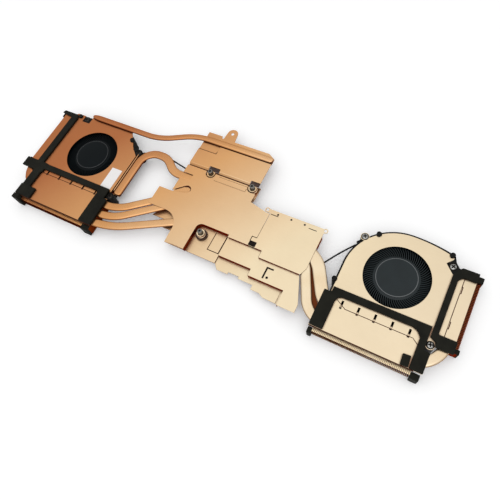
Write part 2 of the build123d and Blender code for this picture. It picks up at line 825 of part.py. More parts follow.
# Main spreader plate, with a folded pocket wall that stands on the bracket
with BuildPart() as main_plate:
    with BuildSketch(Plane.XY.offset(fan_h)):
        with BuildLine():
            Polyline(
                (pocket_x + pocket_r_corner, pocket_y),
                (12.5, pocket_y),
                (12.5, step_seam),
                (seam_x, step_seam),
                (seam_x, flange_y),
                (27.8, flange_y),
                (plate_right, flange_y + 3.1),
                (plate_right, seam_y),
                (plate_left, seam_y),
                (plate_left, loop_row + loop_pipe_w / 2),
                (plate_left + 8.0, loop_row + loop_pipe_w / 2),
                (plate_left + 8.0, loop_row - loop_pipe_w / 2),
                (plate_left, loop_row - loop_pipe_w / 2),
                (plate_left, -5.5),
                (arm_x, -5.5),
                (arm_x, arm_low),
                (leg_left - arm_fillet, arm_low),
            )
            RadiusArc((leg_left - arm_fillet, arm_low), (leg_left, arm_low - arm_fillet), arm_fillet)
            Polyline(
                (leg_left, arm_low - arm_fillet),
                (leg_left, leg_low + 3.0),
                (leg_left + 3.0, leg_low),
                (pocket_x, leg_low),
                (pocket_x, pocket_y - pocket_r_corner),
            )
            RadiusArc(
                (pocket_x, pocket_y - pocket_r_corner),
                (pocket_x + pocket_r_corner, pocket_y),
                pocket_r_corner,
            )
        make_face()
        with Locations(screw_places[0], screw_places[1]):
            RegularPolygon(screw_window_r, motor_sides, mode=Mode.SUBTRACT)
        with Locations(screw_places[1]):
            Rectangle(
                screw_window_r * 2,
                screw_window_r * 2,
                align=(Align.MIN, Align.CENTER),
                mode=Mode.SUBTRACT,
            )
        block(seam_window_low, seam_window_high, mode=Mode.SUBTRACT)
        block(seam_notch_low, seam_notch_high, mode=Mode.SUBTRACT)
    extrude(amount=sheet_t)
    with BuildSketch(Plane.XY.offset(bracket_top)):
        with BuildLine():
            FilletPolyline(
                (pocket_x - sheet_t / 2, leg_low),
                (pocket_x - sheet_t / 2, pocket_y + sheet_t / 2),
                (12.5, pocket_y + sheet_t / 2),
                radius=pocket_r_corner + sheet_t / 2,
            )
        trace(line_width=sheet_t)
    extrude(amount=fan_h - bracket_top)
    with BuildSketch(Plane.XY.offset(step_z + sheet_t)):
        block((13.0, step_seam), (seam_x - 2.5, step_seam + sheet_t))
    extrude(amount=fan_h - step_z - sheet_t)
    with BuildSketch(Plane.XY.offset(fan_h)):
        outline((-34.4, 2.0), (plate_left, -4.6), (plate_left, -5.4), (-31.6, -3.4))
        with Locations((-32.4, -0.5)):
            RegularPolygon(notch_r, small_sides)
    extrude(amount=sheet_t, mode=Mode.SUBTRACT)
    with BuildSketch(Plane.XY.offset(cover_top)):
        block((-17.7, 12.9), (7.3, 12.9 + score_w))
        block((7.3 - score_w, 12.9), (7.3, seam_y - 3.0))
    extrude(amount=-score_d, mode=Mode.SUBTRACT)
write(main_plate, "main_plate")

# Upper plate: a raised panel, a low ledge for the back pipe and a screw tab
ledge_edge = ledge_pipe_y - back_pipe_w / 2 - 0.1
panel_top = cover_top + panel_rise
with BuildPart() as upper_plate:
    with BuildSketch(Plane((plate_left + 0.5, 0, 0), x_dir=(0, 1, 0), z_dir=(1, 0, 0))):
        outline(
            (seam_y - lap, fan_h - sheet_t),
            (seam_y + 1.4, fan_h - sheet_t),
            (seam_y + 2.4, panel_top - sheet_t),
            (ledge_edge - 0.8, panel_top - sheet_t),
            (ledge_edge - 0.4, fan_h),
            (upper_back, fan_h),
            (upper_back, cover_top),
            (ledge_edge, cover_top),
            (ledge_edge - 0.4, panel_top),
            (seam_y + 2.0, panel_top),
            (seam_y + 0.8, fan_h),
            (seam_y - lap, fan_h),
        )
    extrude(amount=plate_right - plate_left - 0.6)
    with BuildSketch(Plane.XY.offset(fan_h)):
        block((plate_left, ledge_edge - 7.0), (-26.7, ledge_edge))
        outline((8.8, upper_back), (plate_right, upper_back - 3.3), (plate_right, upper_back))
    extrude(amount=panel_rise + sheet_t, mode=Mode.SUBTRACT)
    with BuildSketch(Plane.XY.offset(fan_h - sheet_t)):
        block((plate_left, seam_y - lap), (screw_places[0][0] - window_w[0], seam_y + 0.6))
        block(
            (screw_places[0][0] - window_w[0], seam_y - lap),
            (screw_places[0][0] + window_w[1], seam_y + window_l),
        )
        block((screw_places[1][0] - window_w[0], seam_y - lap), (plate_right, seam_y + window_l))
    extrude(amount=panel_rise + 2 * sheet_t, mode=Mode.SUBTRACT)
    with BuildSketch(Plane.XY.offset(fan_h)):
        block((plate_left + 0.5, ledge_edge - 6.6), (-26.7, ledge_edge))
        block((plate_left + 0.5, ledge_edge - 0.4), (-30.2, upper_back + 1.7))
        outline(
            (tab_hole[0] - 5.0, ledge_edge),
            (tab_hole[0] + 6.0, ledge_edge),
            (tab_hole[0] + tab_r, tab_hole[1]),
            (tab_hole[0] - tab_r, tab_hole[1]),
        )
        with Locations(tab_hole):
            Circle(tab_r)
            Circle(tab_hole_r, mode=Mode.SUBTRACT)
    extrude(amount=sheet_t)
write(upper_plate, "upper_plate")

# Dark clips under the upper plate, seen in its two windows beside the captive screws
with BuildPart() as screw_clips:
    with BuildSketch(Plane.XY.offset(panel_top - 2 * sheet_t)):
        for place, far in (
            (screw_places[0], screw_places[0][0] + window_w[1] - fit_gap),
            (screw_places[1], plate_right - fit_gap),
        ):
            block((place[0] - window_w[0] + fit_gap, seam_y + 1.3), (far, seam_y + window_l + 1.5))
    extrude(amount=sheet_t)
write(screw_clips, "screw_clips")

# Right plate, with a flange and two ring tabs at its back
right_low = step_seam - 5.1
ring_x = (27.8, 27.8 + ring_span)
with BuildPart() as right_plate:
    with BuildSketch(Plane.XY.offset(fan_h)):
        outline(
            (plate_corner, right_low),
            (right_end - 2.0, right_low),
            (right_end, right_low + 5.0),
            (right_end, flange_y),
            (ring_x[1], flange_y + 0.5),
            (ring_x[1], flange_y + 3.4),
            (ring_x[0], flange_y + 3.4),
            (ring_x[0], flange_y + 0.5),
            (seam_x + fit_gap, flange_y + 0.5),
            (seam_x + fit_gap, step_seam),
            (plate_corner, step_seam),
        )
        block(
            (seam_x - seam_tab[0], seam_window_high[1]),
            (seam_x + fit_gap, seam_window_high[1] + seam_tab[1]),
        )
        with Locations((ring_x[0], flange_y + 2.3), (ring_x[1], flange_y + 2.3)):
            RegularPolygon(ring_r, small_sides)
            RegularPolygon(ring_hole_r, small_sides, mode=Mode.SUBTRACT)
        block(seam_window_low, seam_window_high, mode=Mode.SUBTRACT)
        with Locations((34.0, flange_y), (61.3, flange_y)):
            Rectangle(5.5, score_w, mode=Mode.SUBTRACT)
        with Locations((45.6, flange_y + 1.3)):
            with GridLocations(9.6, 0, 3, 1):
                RegularPolygon(0.75, 6, mode=Mode.SUBTRACT)
    extrude(amount=sheet_t)
    with BuildSketch(Plane.XY.offset(step_z + sheet_t)):
        block((plate_corner, right_low), (right_end - 3.0, right_low + sheet_t))
        block((seam_window_high[0] + fit_gap, step_seam), (plate_corner, step_seam + sheet_t))
    extrude(amount=fan_h - step_z - sheet_t)
    with BuildSketch(Plane.XY.offset(bracket_z)):
        block((right_end - sheet_t, -6.0), (right_end, 2.5))
    extrude(amount=fan_h - bracket_z)
write(right_plate, "right_plate")

# Stepped plate and low plate in front of the right plate
with BuildPart() as step_plate:
    with BuildSketch(Plane.XY.offset(step_z)):
        outline(
            (step_left, step_seam + 1.0),
            (plate_corner + 1.0, step_seam + 1.0),
            (plate_corner + 1.0, right_low + 1.7),
            (64.6, right_low + 1.7),
            (66.5, right_low - 0.5),
            (step_right, right_low - 18.0),
            (step_right, step_low),
            (step_tail, step_low),
            (step_tail, step_mid),
            (36.3, step_mid),
            (36.3, step_mid + 4.7),
            (step_left, step_mid + 4.7),
        )
        block((45.3, -38.2), (46.3, -30.0), mode=Mode.SUBTRACT)
        block((45.3, -31.0), (50.2, -30.0), mode=Mode.SUBTRACT)
        with Locations((48.3, -36.8)):
            RegularPolygon(0.9, small_sides // 2, mode=Mode.SUBTRACT)
    extrude(amount=sheet_t)
    with BuildSketch(Plane.XY.offset(bracket_z)):
        block((step_left, step_mid + 4.7), (36.3, step_mid + 4.7 + sheet_t))
        block((36.3, step_mid), (step_tail, step_mid + sheet_t))
        block((step_tail, step_low), (step_tail + sheet_t, step_mid + sheet_t))
    extrude(amount=step_z - bracket_z)
write(step_plate, "step_plate")

with BuildPart() as low_plate:
    with BuildSketch(Plane.XY.offset(low_z)):
        outline(
            (9.3, -33.0),
            (step_tail + 1.4, -33.0),
            (step_tail + 1.4, step_low + 1.3),
            (50.5, step_low + 1.6),
            (47.5, -47.2),
            (41.3, -47.2),
            (41.3, -44.0),
            (30.7, -44.0),
            (30.7, -42.5),
            (23.0, -42.5),
            (23.0, -44.0),
            (14.9, -44.0),
            (11.8, -40.6),
            (9.3, -40.6),
        )
    extrude(amount=sheet_t)
    with BuildSketch(Plane.XY.offset(low_z + sheet_t)):
        block((step_tail - 1.3 - score_w, step_low + 1.3), (step_tail - 1.3, step_mid - 0.5))
    extrude(amount=-score_d, mode=Mode.SUBTRACT)
write(low_plate, "low_plate")

# Foam gaskets on the covers, round the outlets
left_bar = (-left_side + 0.5, -left_side + 0.5 + foam_bar)
left_foot = left_back - 9.0
front_bar = (-left_front + 2.4, -left_front + 6.9)
with BuildPart() as left_gasket:
    with BuildSketch(fan_plane(left_fan, cover_top)):
        block((left_bar[0], front_bar[0]), (left_bar[1], left_foot))
        outline(
            (-left_side - side_stack_w + 0.2, left_foot + 1.0),
            (left_bar[0], left_foot),
            (left_bar[1], left_foot),
            (left_bar[1] - 1.1, left_foot + 3.5),
            (-left_side - side_stack_w + 1.3, left_foot + 3.5),
        )
        block((-left_side - side_stack_w + 0.2, -left_front - 0.6), (left_bar[1] + 4.5, front_bar[1] + 0.4))
        block((left_bar[1], front_bar[0]), (left_right - 1.5, front_bar[1]))
        block((left_fins_span[0] + 1.1, left_cover_low), (left_fins_span[0] + 8.0, front_bar[0]))
        block((left_fins_span[0] + 0.1, left_cover_low), (left_fins_span[0] + 14.0, left_cover_low + 8.7))
        outline(
            (left_fins_span[1] - 9.3, left_cover_low),
            (left_fins_span[1] + 1.2, left_cover_low),
            (left_fins_span[1] + 1.2, -left_front - 1.1),
            (left_right - 1.5, -left_front - 1.1),
            (left_right - 1.5, front_bar[1]),
            (left_fins_span[1] - 9.3, front_bar[1]),
        )
    extrude(amount=foam_t)
write(left_gasket, "left_gasket")

right_bar = (-right_front + 5.8, -right_front + 10.3)
right_leg = (right_fins_span[1] - 2.1, right_fins_span[1] + 1.9)
with BuildPart() as right_front_gasket:
    with BuildSketch(fan_plane(right_fan, cover_top)):
        outline(
            (right_fins_span[0] - 2.8, right_cover_low + 0.6),
            (right_fins_span[0] + 5.7, right_cover_low + 0.6),
            (right_fins_span[0] + 5.7, right_bar[0] - 3.4),
            (right_fins_span[0] + 6.8, right_bar[0] - 1.0),
            (right_fins_span[0] + 9.2, right_bar[0]),
            (right_fins_span[0] + 9.2, right_bar[0] + 0.8),
            (right_fins_span[0] - 2.8, right_bar[0] + 0.8),
        )
        block((right_fins_span[0] + 1.7, right_bar[0]), (right_leg[1], right_bar[1]))
        outline(
            (right_leg[0], -right_front - 4.8),
            (right_leg[1], -right_front - 4.8),
            (right_leg[1], right_bar[1]),
            (right_leg[0] - 5.5, right_bar[1]),
            (right_leg[0] - 5.5, right_bar[0]),
            (right_leg[0] - 2.4, right_bar[0] - 1.2),
            (right_leg[0], right_bar[0] - 4.2),
        )
        block((right_leg[0], right_cover_low + 0.1), (right_fins_span[1] + 5.6, -right_front - 4.6))
    extrude(amount=foam_t)
write(right_front_gasket, "right_front_gasket")

side_bar = (right_side - 6.6, right_side - 3.0)
side_end = right_side + side_stack_w - side_fin_proud
with BuildPart() as right_side_gasket:
    with BuildSketch(fan_plane(right_fan, cover_top)):
        outline(
            (side_bar[0], side_low - 2.3),
            (side_bar[1], side_low - 2.3),
            (side_bar[1], side_high - 2.2),
            (side_bar[1] + 2.2, side_high),
            (side_bar[1], side_high + 3.0),
            (side_bar[0] + 1.5, side_high + 3.0),
            (side_bar[0], side_high + 0.7),
        )
        outline(
            (side_bar[0] + 1.5, side_high),
            (side_end + 0.1, side_high),
            (side_end + 0.1, side_high + 5.9),
            (side_bar[1] + 0.3, side_high + 5.9),
            (side_bar[0] + 1.5, side_high + 3.3),
        )
        outline(
            (side_bar[0], side_low - 3.3),
            (side_bar[1] + 0.3, side_low - 5.4),
            (side_bar[1] + 0.3, side_low - 8.0),
            (side_end + 0.6, side_low - 8.0),
            (side_end + 0.6, side_low - 0.3),
            (side_bar[0], side_low - 0.3),
        )
    extrude(amount=foam_t)
write(right_side_gasket, "right_side_gasket")

with BuildPart() as foam_pad:
    with BuildSketch(fan_plane(right_fan, cover_top)):
        with Locations((20.9, right_cover_low + 3.6)):
            Rectangle(4.6, 6.6, rotation=4)
    extrude(amount=foam_t)
write(foam_pad, "foam_pad")

with BuildPart() as fin_end_wraps:
    right_face = -right_front - right_stack_depth
    left_face = -left_front - left_stack_depth
    low_wrap = pipe_z + wrap_t
    end_wrap = fin_proud - fit_gap
    front_ends = (
        (right_fan, (right_fins_span[0] - 2.6, right_fins_span[0]), right_face, low_wrap, end_wrap),
        (right_fan, (right_fins_span[1], right_fins_span[1] + 5.0), right_face, low_wrap, end_wrap),
        (left_fan, (left_fins_span[0], left_fins_span[0] + 5.2), left_face, cover_top + foam_t, 0),
        (left_fan, (left_fins_span[1] - 6.3, left_fins_span[1]), left_face, low_wrap, 0),
    )
    for fan, span, face, wrap_top, back in front_ends:
        with BuildSketch(fan_plane(fan, fin_lift)):
            block((span[0], face - front_wrap_t), (span[1], face + back))
        extrude(amount=wrap_top - fin_lift)
        with BuildSketch(fan_plane(fan, pipe_z)):
            block((span[0], face), (span[1], face + fin_proud - fit_gap))
        extrude(amount=wrap_top - pipe_z)
    side_ends = (
        (right_fan, 1, right_side, (right_side_fins_span[1] - 4.0, right_side_fins_span[1])),
        (right_fan, 1, right_side, (right_side_fins_span[0], right_side_fins_span[0] + 2.9)),
        (left_fan, -1, left_side, (left_side_fins_span[1] - 4.0, left_side_fins_span[1])),
        (left_fan, -1, left_side, (left_side_fins_span[0], left_side_fins_span[0] + 3.0)),
    )
    for fan, way, seam, span in side_ends:
        face = way * (seam + side_stack_w)
        edges = sorted((face, face + way * wrap_t))
        with BuildSketch(fan_plane(fan, fin_lift)):
            block((edges[0], span[0]), (edges[1], span[1]))
        extrude(amount=pipe_z - fin_lift + wrap_t)
        edges = sorted((face, face - way * (side_fin_proud - fit_gap)))
        with BuildSketch(fan_plane(fan, pipe_z)):
            block((edges[0], span[0]), (edges[1], span[1]))
        extrude(amount=wrap_t)
write(fin_end_wraps, "fin_end_wraps")

# Blank sticker on the left cover
with BuildPart() as blank_label:
    with BuildSketch(fan_plane(left_fan, cover_top)):
        block((23.0, -21.4), (31.8, -4.4))
    extrude(amount=label_t)
write(blank_label, "blank_label")

# Fan leads, each from its moulding to a plug


def lead_radii(points):
    """Bend radii of a lead, as large as its runs allow."""
    radii = []
    for before, corner, after in zip(points, points[1:], points[2:]):
        way_in = math.atan2(corner[1] - before[1], corner[0] - before[0])
        way_out = math.atan2(after[1] - corner[1], after[0] - corner[0])
        run = min(math.dist(before, corner), math.dist(corner, after))
        radii.append(0.45 * run / math.tan(abs(way_out - way_in) / 2))
    return radii


def lead_plane(origin, ahead, level):
    """Plane across a lead at one of its ends."""
    return Plane(
        origin=(origin[0], origin[1], level),
        x_dir=(-math.sin(ahead), math.cos(ahead), 0),
        z_dir=(math.cos(ahead), math.sin(ahead), 0),
    )


def heading(start, end):
    """Angle of the run from one point to another."""
    return math.atan2(end[1] - start[1], end[0] - start[0])


def fan_lead(side, level, plug_low, plug_high, points):
    """Lead along a level route, and the plug that its far end runs into."""
    first = heading(points[0], points[1])
    last = heading(points[-2], points[-1])
    with BuildPart() as lead:
        with BuildLine(Plane.XY.offset(level)) as route:
            FilletPolyline(*points, radius=lead_radii(points))
        with BuildSketch(lead_plane(points[0], first, level)) as section:
            RegularPolygon(lead_d / 2, 6)
        sweep(section.sketch, path=route.line)
    write(lead, f"{side}_fan_lead")
    with BuildPart() as plug:
        with BuildSketch(lead_plane(points[-1], last, (plug_low + plug_high) / 2)) as face:
            Rectangle(plug_w, plug_high - plug_low)
        extrude(face.sketch, amount=plug_l)
    write(plug, f"{side}_lead_plug")


fan_lead("right", right_lead_z, pipe_z - plug_h, pipe_z, right_lead)
fan_lead("left", left_lead_z, left_lead_z - lead_d / 2 - 0.2, fan_h, left_lead)
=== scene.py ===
import math

import bmesh
import bpy
from mathutils import Matrix, Vector


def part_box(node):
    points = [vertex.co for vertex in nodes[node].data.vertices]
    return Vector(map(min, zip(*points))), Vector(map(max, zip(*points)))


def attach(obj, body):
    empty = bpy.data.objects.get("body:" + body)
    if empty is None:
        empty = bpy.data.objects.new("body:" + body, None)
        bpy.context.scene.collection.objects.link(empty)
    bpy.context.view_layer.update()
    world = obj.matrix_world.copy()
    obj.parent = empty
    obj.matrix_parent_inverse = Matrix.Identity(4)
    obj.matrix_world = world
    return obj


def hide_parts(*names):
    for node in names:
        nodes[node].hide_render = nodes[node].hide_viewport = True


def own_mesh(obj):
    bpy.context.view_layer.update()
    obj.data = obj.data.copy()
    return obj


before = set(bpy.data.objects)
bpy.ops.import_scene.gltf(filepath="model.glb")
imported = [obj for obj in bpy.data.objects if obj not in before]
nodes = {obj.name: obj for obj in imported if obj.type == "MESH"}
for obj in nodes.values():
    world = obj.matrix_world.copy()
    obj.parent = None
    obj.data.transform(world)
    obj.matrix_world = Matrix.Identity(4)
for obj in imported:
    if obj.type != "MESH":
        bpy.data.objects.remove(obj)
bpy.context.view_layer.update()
MM = 0.001

# Camera: where the photograph was taken from
LENS_MM = 33.6
SENSOR_MM = 36.0
CAMERA_AT = Vector((0.1238, -0.1205, 0.2785))
AZIMUTH = 44.2135
ELEVATION = 63.4998
ROLL = -18.8437

# Studio dome: grey level by height, from the horizon to overhead
DOME = ((0.0, 0.62), (0.68, 0.75), (0.85, 0.99), (0.93, 1.11), (1.0, 1.0))

# Floor: its grey, and how much the camera and mirrors see it lifted by
FLOOR_SIZE = 6.0
FLOOR_DROP = 0.0002
FLOOR_GREY = 0.93
FLOOR_LIFT = 0.15


def make_camera():
    """Camera at the photograph's place, tilted by its roll."""
    azimuth, elevation, roll = (math.radians(a) for a in (AZIMUTH, ELEVATION, ROLL))
    back = Vector((
        math.sin(azimuth) * math.cos(elevation),
        -math.cos(azimuth) * math.cos(elevation),
        math.sin(elevation),
    ))
    right = Vector((0, 0, 1)).cross(back).normalized()
    up = back.cross(right)
    tilted_right = math.cos(roll) * right + math.sin(roll) * up
    tilted_up = -math.sin(roll) * right + math.cos(roll) * up
    turn = Matrix((tilted_right, tilted_up, back)).transposed()
    data = bpy.data.cameras.new("photo_camera")
    data.lens = LENS_MM
    data.sensor_width = SENSOR_MM
    data.clip_start = 0.01
    camera = bpy.data.objects.new("photo_camera", data)
    camera.matrix_world = Matrix.Translation(CAMERA_AT) @ turn.to_4x4()
    bpy.context.scene.collection.objects.link(camera)
    bpy.context.scene.camera = camera


def add_light(name, place, aim, size, watts):
    """Square soft box that faces a point."""
    data = bpy.data.lights.new(name, "AREA")
    data.shape = "SQUARE"
    data.size = size
    data.energy = watts
    light = bpy.data.objects.new(name, data)
    light.location = place
    light.rotation_euler = (Vector(aim) - Vector(place)).to_track_quat("-Z", "Y").to_euler()
    bpy.context.scene.collection.objects.link(light)


def larger(tree, one, other):
    """The larger of two numbers."""
    node = tree.nodes.new("ShaderNodeMath")
    node.operation = "MAXIMUM"
    tree.links.new(one, node.inputs[0])
    tree.links.new(other, node.inputs[1])
    return node.outputs["Value"]


def make_world():
    """Plain studio dome, brighter overhead than at the horizon."""
    world = bpy.data.worlds.new("studio")
    bpy.context.scene.world = world
    world.use_nodes = True
    tree = world.node_tree
    way = tree.nodes.new("ShaderNodeTexCoord").outputs["Generated"]
    dome = stops(tree, axis_of(tree, way, "Z"), [(at, (grey,) * 3) for at, grey in DOME])
    tree.links.new(dome, tree.nodes["Background"].inputs["Color"])


def make_floor():
    """White table that keeps the soft shadow, lifted to white where it is seen but not as light."""
    bpy.ops.mesh.primitive_plane_add(size=FLOOR_SIZE, location=(0, 0, -FLOOR_DROP))
    floor = bpy.context.object
    floor.name = "floor"
    material = bpy.data.materials.new("white_table")
    material.use_nodes = True
    tree = material.node_tree
    shader = tree.nodes["Principled BSDF"]
    shader.inputs["Base Color"].default_value = shade((FLOOR_GREY,) * 3, 1.0)
    shader.inputs["Roughness"].default_value = 0.9
    shader.inputs["Specular IOR Level"].default_value = 0.0
    shader.inputs["Emission Color"].default_value = (1, 1, 1, 1)
    path = tree.nodes.new("ShaderNodeLightPath").outputs
    mirrored = larger(tree, path["Is Glossy Ray"], path["Is Transmission Ray"])
    seen = larger(tree, path["Is Camera Ray"], mirrored)
    tree.links.new(spread(tree, seen, 0, FLOOR_LIFT, start=0, end=1), shader.inputs["Emission Strength"])
    floor.data.materials.append(material)


# Materials, each worked out from noise in the object's own coordinates


def new_material(name):
    """Empty node material with its shader and the object's coordinates."""
    material = bpy.data.materials.new(name)
    material.use_nodes = True
    tree = material.node_tree
    shader = tree.nodes["Principled BSDF"]
    place = tree.nodes.new("ShaderNodeTexCoord").outputs["Object"]
    return material, tree, shader, place


def noise(tree, place, scale, detail=3.0, stretch=(1, 1, 1)):
    """Noise texture of so many grains per metre, drawn out along an axis by the stretch."""
    mapping = tree.nodes.new("ShaderNodeMapping")
    mapping.inputs["Scale"].default_value = stretch
    texture = tree.nodes.new("ShaderNodeTexNoise")
    texture.inputs["Scale"].default_value = scale
    texture.inputs["Detail"].default_value = detail
    tree.links.new(place, mapping.inputs["Vector"])
    tree.links.new(mapping.outputs["Vector"], texture.inputs["Vector"])
    return texture.outputs["Fac"]


def shade(colour, factor):
    """Colour made lighter or darker, with full alpha."""
    return (*(min(1.0, c * factor) for c in colour), 1)


def ramp(tree, value, low, high, start=0.3, end=0.7):
    """Colour that runs from one to the other as the value rises."""
    node = tree.nodes.new("ShaderNodeValToRGB")
    node.color_ramp.elements[0].position = start
    node.color_ramp.elements[0].color = low
    node.color_ramp.elements[1].position = end
    node.color_ramp.elements[1].color = high
    tree.links.new(value, node.inputs["Fac"])
    return node.outputs["Color"]


def stops(tree, value, colours):
    """Colour that runs through several stops, each a position and a colour."""
    node = tree.nodes.new("ShaderNodeValToRGB")
    elements = node.color_ramp.elements
    while len(elements) < len(colours):
        elements.new(0.5)
    for element, (position, colour) in zip(elements, colours):
        element.position = position
        element.color = (*colour, 1)
    tree.links.new(value, node.inputs["Fac"])
    return node.outputs["Color"]


def spread(tree, value, low, high, start=0.3, end=0.7):
    """Number from low to high as the value goes from start to end."""
    node = tree.nodes.new("ShaderNodeMapRange")
    node.inputs["From Min"].default_value = start
    node.inputs["From Max"].default_value = end
    node.inputs["To Min"].default_value = low
    node.inputs["To Max"].default_value = high
    tree.links.new(value, node.inputs["Value"])
    return node.outputs["Result"]


def product(tree, one, other):
    """Product of two colours, at most white."""
    node = tree.nodes.new("ShaderNodeMix")
    node.data_type = "RGBA"
    node.blend_type = "MULTIPLY"
    node.clamp_result = True
    node.inputs["Factor"].default_value = 1.0
    tree.links.new(one, node.inputs["A"])
    tree.links.new(other, node.inputs["B"])
    return node.outputs["Result"]


def bump(tree, shader, value, strength, depth):
    """Fine relief of so many metres."""
    node = tree.nodes.new("ShaderNodeBump")
    node.inputs["Strength"].default_value = strength
    node.inputs["Distance"].default_value = depth
    tree.links.new(value, node.inputs["Height"])
    tree.links.new(node.outputs["Normal"], shader.inputs["Normal"])


def axis_of(tree, vector, letter):
    """One component of a vector."""
    node = tree.nodes.new("ShaderNodeSeparateXYZ")
    tree.links.new(vector, node.inputs["Vector"])
    return node.outputs[letter]


# Copper along the module, darker and redder at the left end and paler at the right end: a painted light
# gradient
COPPER = (
    (0.1, (0.54, 0.20, 0.08)),
    (0.36, (0.80, 0.44, 0.19)),
    (0.7, (0.90, 0.75, 0.51)),
    (1.0, (0.86, 0.72, 0.51)),
)
LIGHT_GRADIENT_WAY = (1.0, -0.7, 0.0)
LIGHT_GRADIENT_HALF = 0.15

# What it is multiplied by as painted shade where a face tilts, as a painted highlight on a rounded bend and
# as painted shade in seams, and its tint at a glance
TILT_SHADE = (0.9, 0.86, 0.82)
TILT_HIGHLIGHT = (1.1, 1.12, 1.16)
SEAM_SHADE = (0.18, 0.045, 0.018, 1)
GLANCE = (0.6, 0.32, 0.2, 1)

# Upward part of the normal from which a face counts as flat
FLAT = 0.99


def painted_shade(tree, reach, darkest):
    """Painted shade: darker colour in seams, recesses and corners, up to so many millimetres from them."""
    seam = tree.nodes.new("ShaderNodeAmbientOcclusion")
    seam.inputs["Distance"].default_value = reach * MM
    seam.samples = 6
    return ramp(tree, seam.outputs["AO"], darkest, (1, 1, 1, 1), start=0.25, end=0.8)


def copper(name, tint=(1, 1, 1), rough=(0.34, 0.46), grain=(1, 14, 1), edge=(0.20, 0.07, 0.03),
           bend=(0.3, 0.62), reach=1.6, stain=(0.94, 0.93, 0.92, 1)):
    """Satin copper, paler to the right as painted light, with painted highlights on rounded bends and
    painted shade in seams and on tilted faces.
    """
    material, tree, shader, place = new_material(name)
    clouds = noise(tree, place, scale=38.0, detail=4.0)
    marks = noise(tree, place, scale=260.0, detail=2.0, stretch=grain)
    way = tree.nodes.new("ShaderNodeVectorMath")
    way.operation = "DOT_PRODUCT"
    way.inputs[1].default_value = LIGHT_GRADIENT_WAY
    tree.links.new(place, way.inputs[0])
    # painted light: the copper grows paler along the module, towards its right end
    along = spread(tree, way.outputs["Value"], 0, 1, start=-LIGHT_GRADIENT_HALF, end=LIGHT_GRADIENT_HALF)
    tone = stops(tree, along, [(at, [c * t for c, t in zip(colour, tint)]) for at, colour in COPPER])
    cloudy = product(tree, tone, ramp(tree, clouds, stain, (1, 1, 1, 1)))
    normal = tree.nodes.new("ShaderNodeTexCoord").outputs["Normal"]
    # painted shade on faces that tilt away from flat, darkest on upright sides, and a painted highlight on
    # rounded bends
    tilt_stops = ((bend[0], edge), (bend[1], TILT_SHADE), (0.5 + bend[1] / 2, TILT_HIGHLIGHT), (FLAT, (1, 1, 1)))
    tilt_shading = stops(tree, axis_of(tree, normal, "Z"), tilt_stops)
    # random stains, times the painted light gradient, the painted shade and highlights of tilted faces and
    # the painted shade in seams
    stained_and_lit = product(tree, product(tree, cloudy, tilt_shading), painted_shade(tree, reach, SEAM_SHADE))
    tree.links.new(stained_and_lit, shader.inputs["Base Color"])
    tree.links.new(spread(tree, marks, *rough), shader.inputs["Roughness"])
    shader.inputs["Metallic"].default_value = 1.0
    shader.inputs["Specular Tint"].default_value = GLANCE
    bump(tree, shader, marks, strength=0.06, depth=0.0001)
    return material


def moulded(name, colour, rough=(0.4, 0.55), gloss=0.35):
    """Moulded plastic with a fine spark-eroded grain."""
    material, tree, shader, place = new_material(name)
    clouds = noise(tree, place, scale=90.0)
    grain = noise(tree, place, scale=5200.0, detail=1.0)
    tree.links.new(ramp(tree, clouds, shade(colour, 0.85), shade(colour, 1.15)), shader.inputs["Base Color"])
    tree.links.new(spread(tree, grain, *rough), shader.inputs["Roughness"])
    shader.inputs["Specular IOR Level"].default_value = gloss
    bump(tree, shader, grain, strength=0.12, depth=0.00006)
    return material


def foam(name, colour):
    """Gasket foam in a dull woven skin."""
    material, tree, shader, place = new_material(name)
    clouds = noise(tree, place, scale=140.0)
    across = tree.nodes.new("ShaderNodeTexWave")
    along = tree.nodes.new("ShaderNodeTexWave")
    for wave, way in ((across, "X"), (along, "Y")):
        wave.bands_direction = way
        wave.inputs["Scale"].default_value = 700.0
        wave.inputs["Distortion"].default_value = 1.5
        tree.links.new(place, wave.inputs["Vector"])
    weave = larger(tree, across.outputs["Fac"], along.outputs["Fac"])
    tree.links.new(ramp(tree, clouds, shade(colour, 0.7), shade(colour, 1.35)), shader.inputs["Base Color"])
    tree.links.new(spread(tree, weave, 0.62, 0.85), shader.inputs["Roughness"])
    shader.inputs["Specular IOR Level"].default_value = 0.15
    bump(tree, shader, weave, strength=0.3, depth=0.00012)
    return material


def steel(name, colour, rough=(0.22, 0.36)):
    """Plated steel with fine turning marks."""
    material, tree, shader, place = new_material(name)
    clouds = noise(tree, place, scale=700.0)
    marks = noise(tree, place, scale=3000.0, detail=1.0, stretch=(1, 1, 8))
    tone = ramp(tree, clouds, shade(colour, 0.8), shade(colour, 1.1))
    # painted shade in the recesses and corners of the steel
    shaded = product(tree, tone, painted_shade(tree, reach=0.8, darkest=(0.03, 0.03, 0.03, 1)))
    tree.links.new(shaded, shader.inputs["Base Color"])
    tree.links.new(spread(tree, marks, *rough), shader.inputs["Roughness"])
    shader.inputs["Metallic"].default_value = 1.0
    bump(tree, shader, marks, strength=0.08, depth=0.00005)
    return material


def paper(name, colour):
    """Blank matt label."""
    material, tree, shader, place = new_material(name)
    fibres = noise(tree, place, scale=1500.0, detail=4.0)
    tree.links.new(ramp(tree, fibres, shade(colour, 0.94), shade(colour, 1.02)), shader.inputs["Base Color"])
    tree.links.new(spread(tree, fibres, 0.5, 0.65), shader.inputs["Roughness"])
    bump(tree, shader, fibres, strength=0.05, depth=0.00003)
    return material


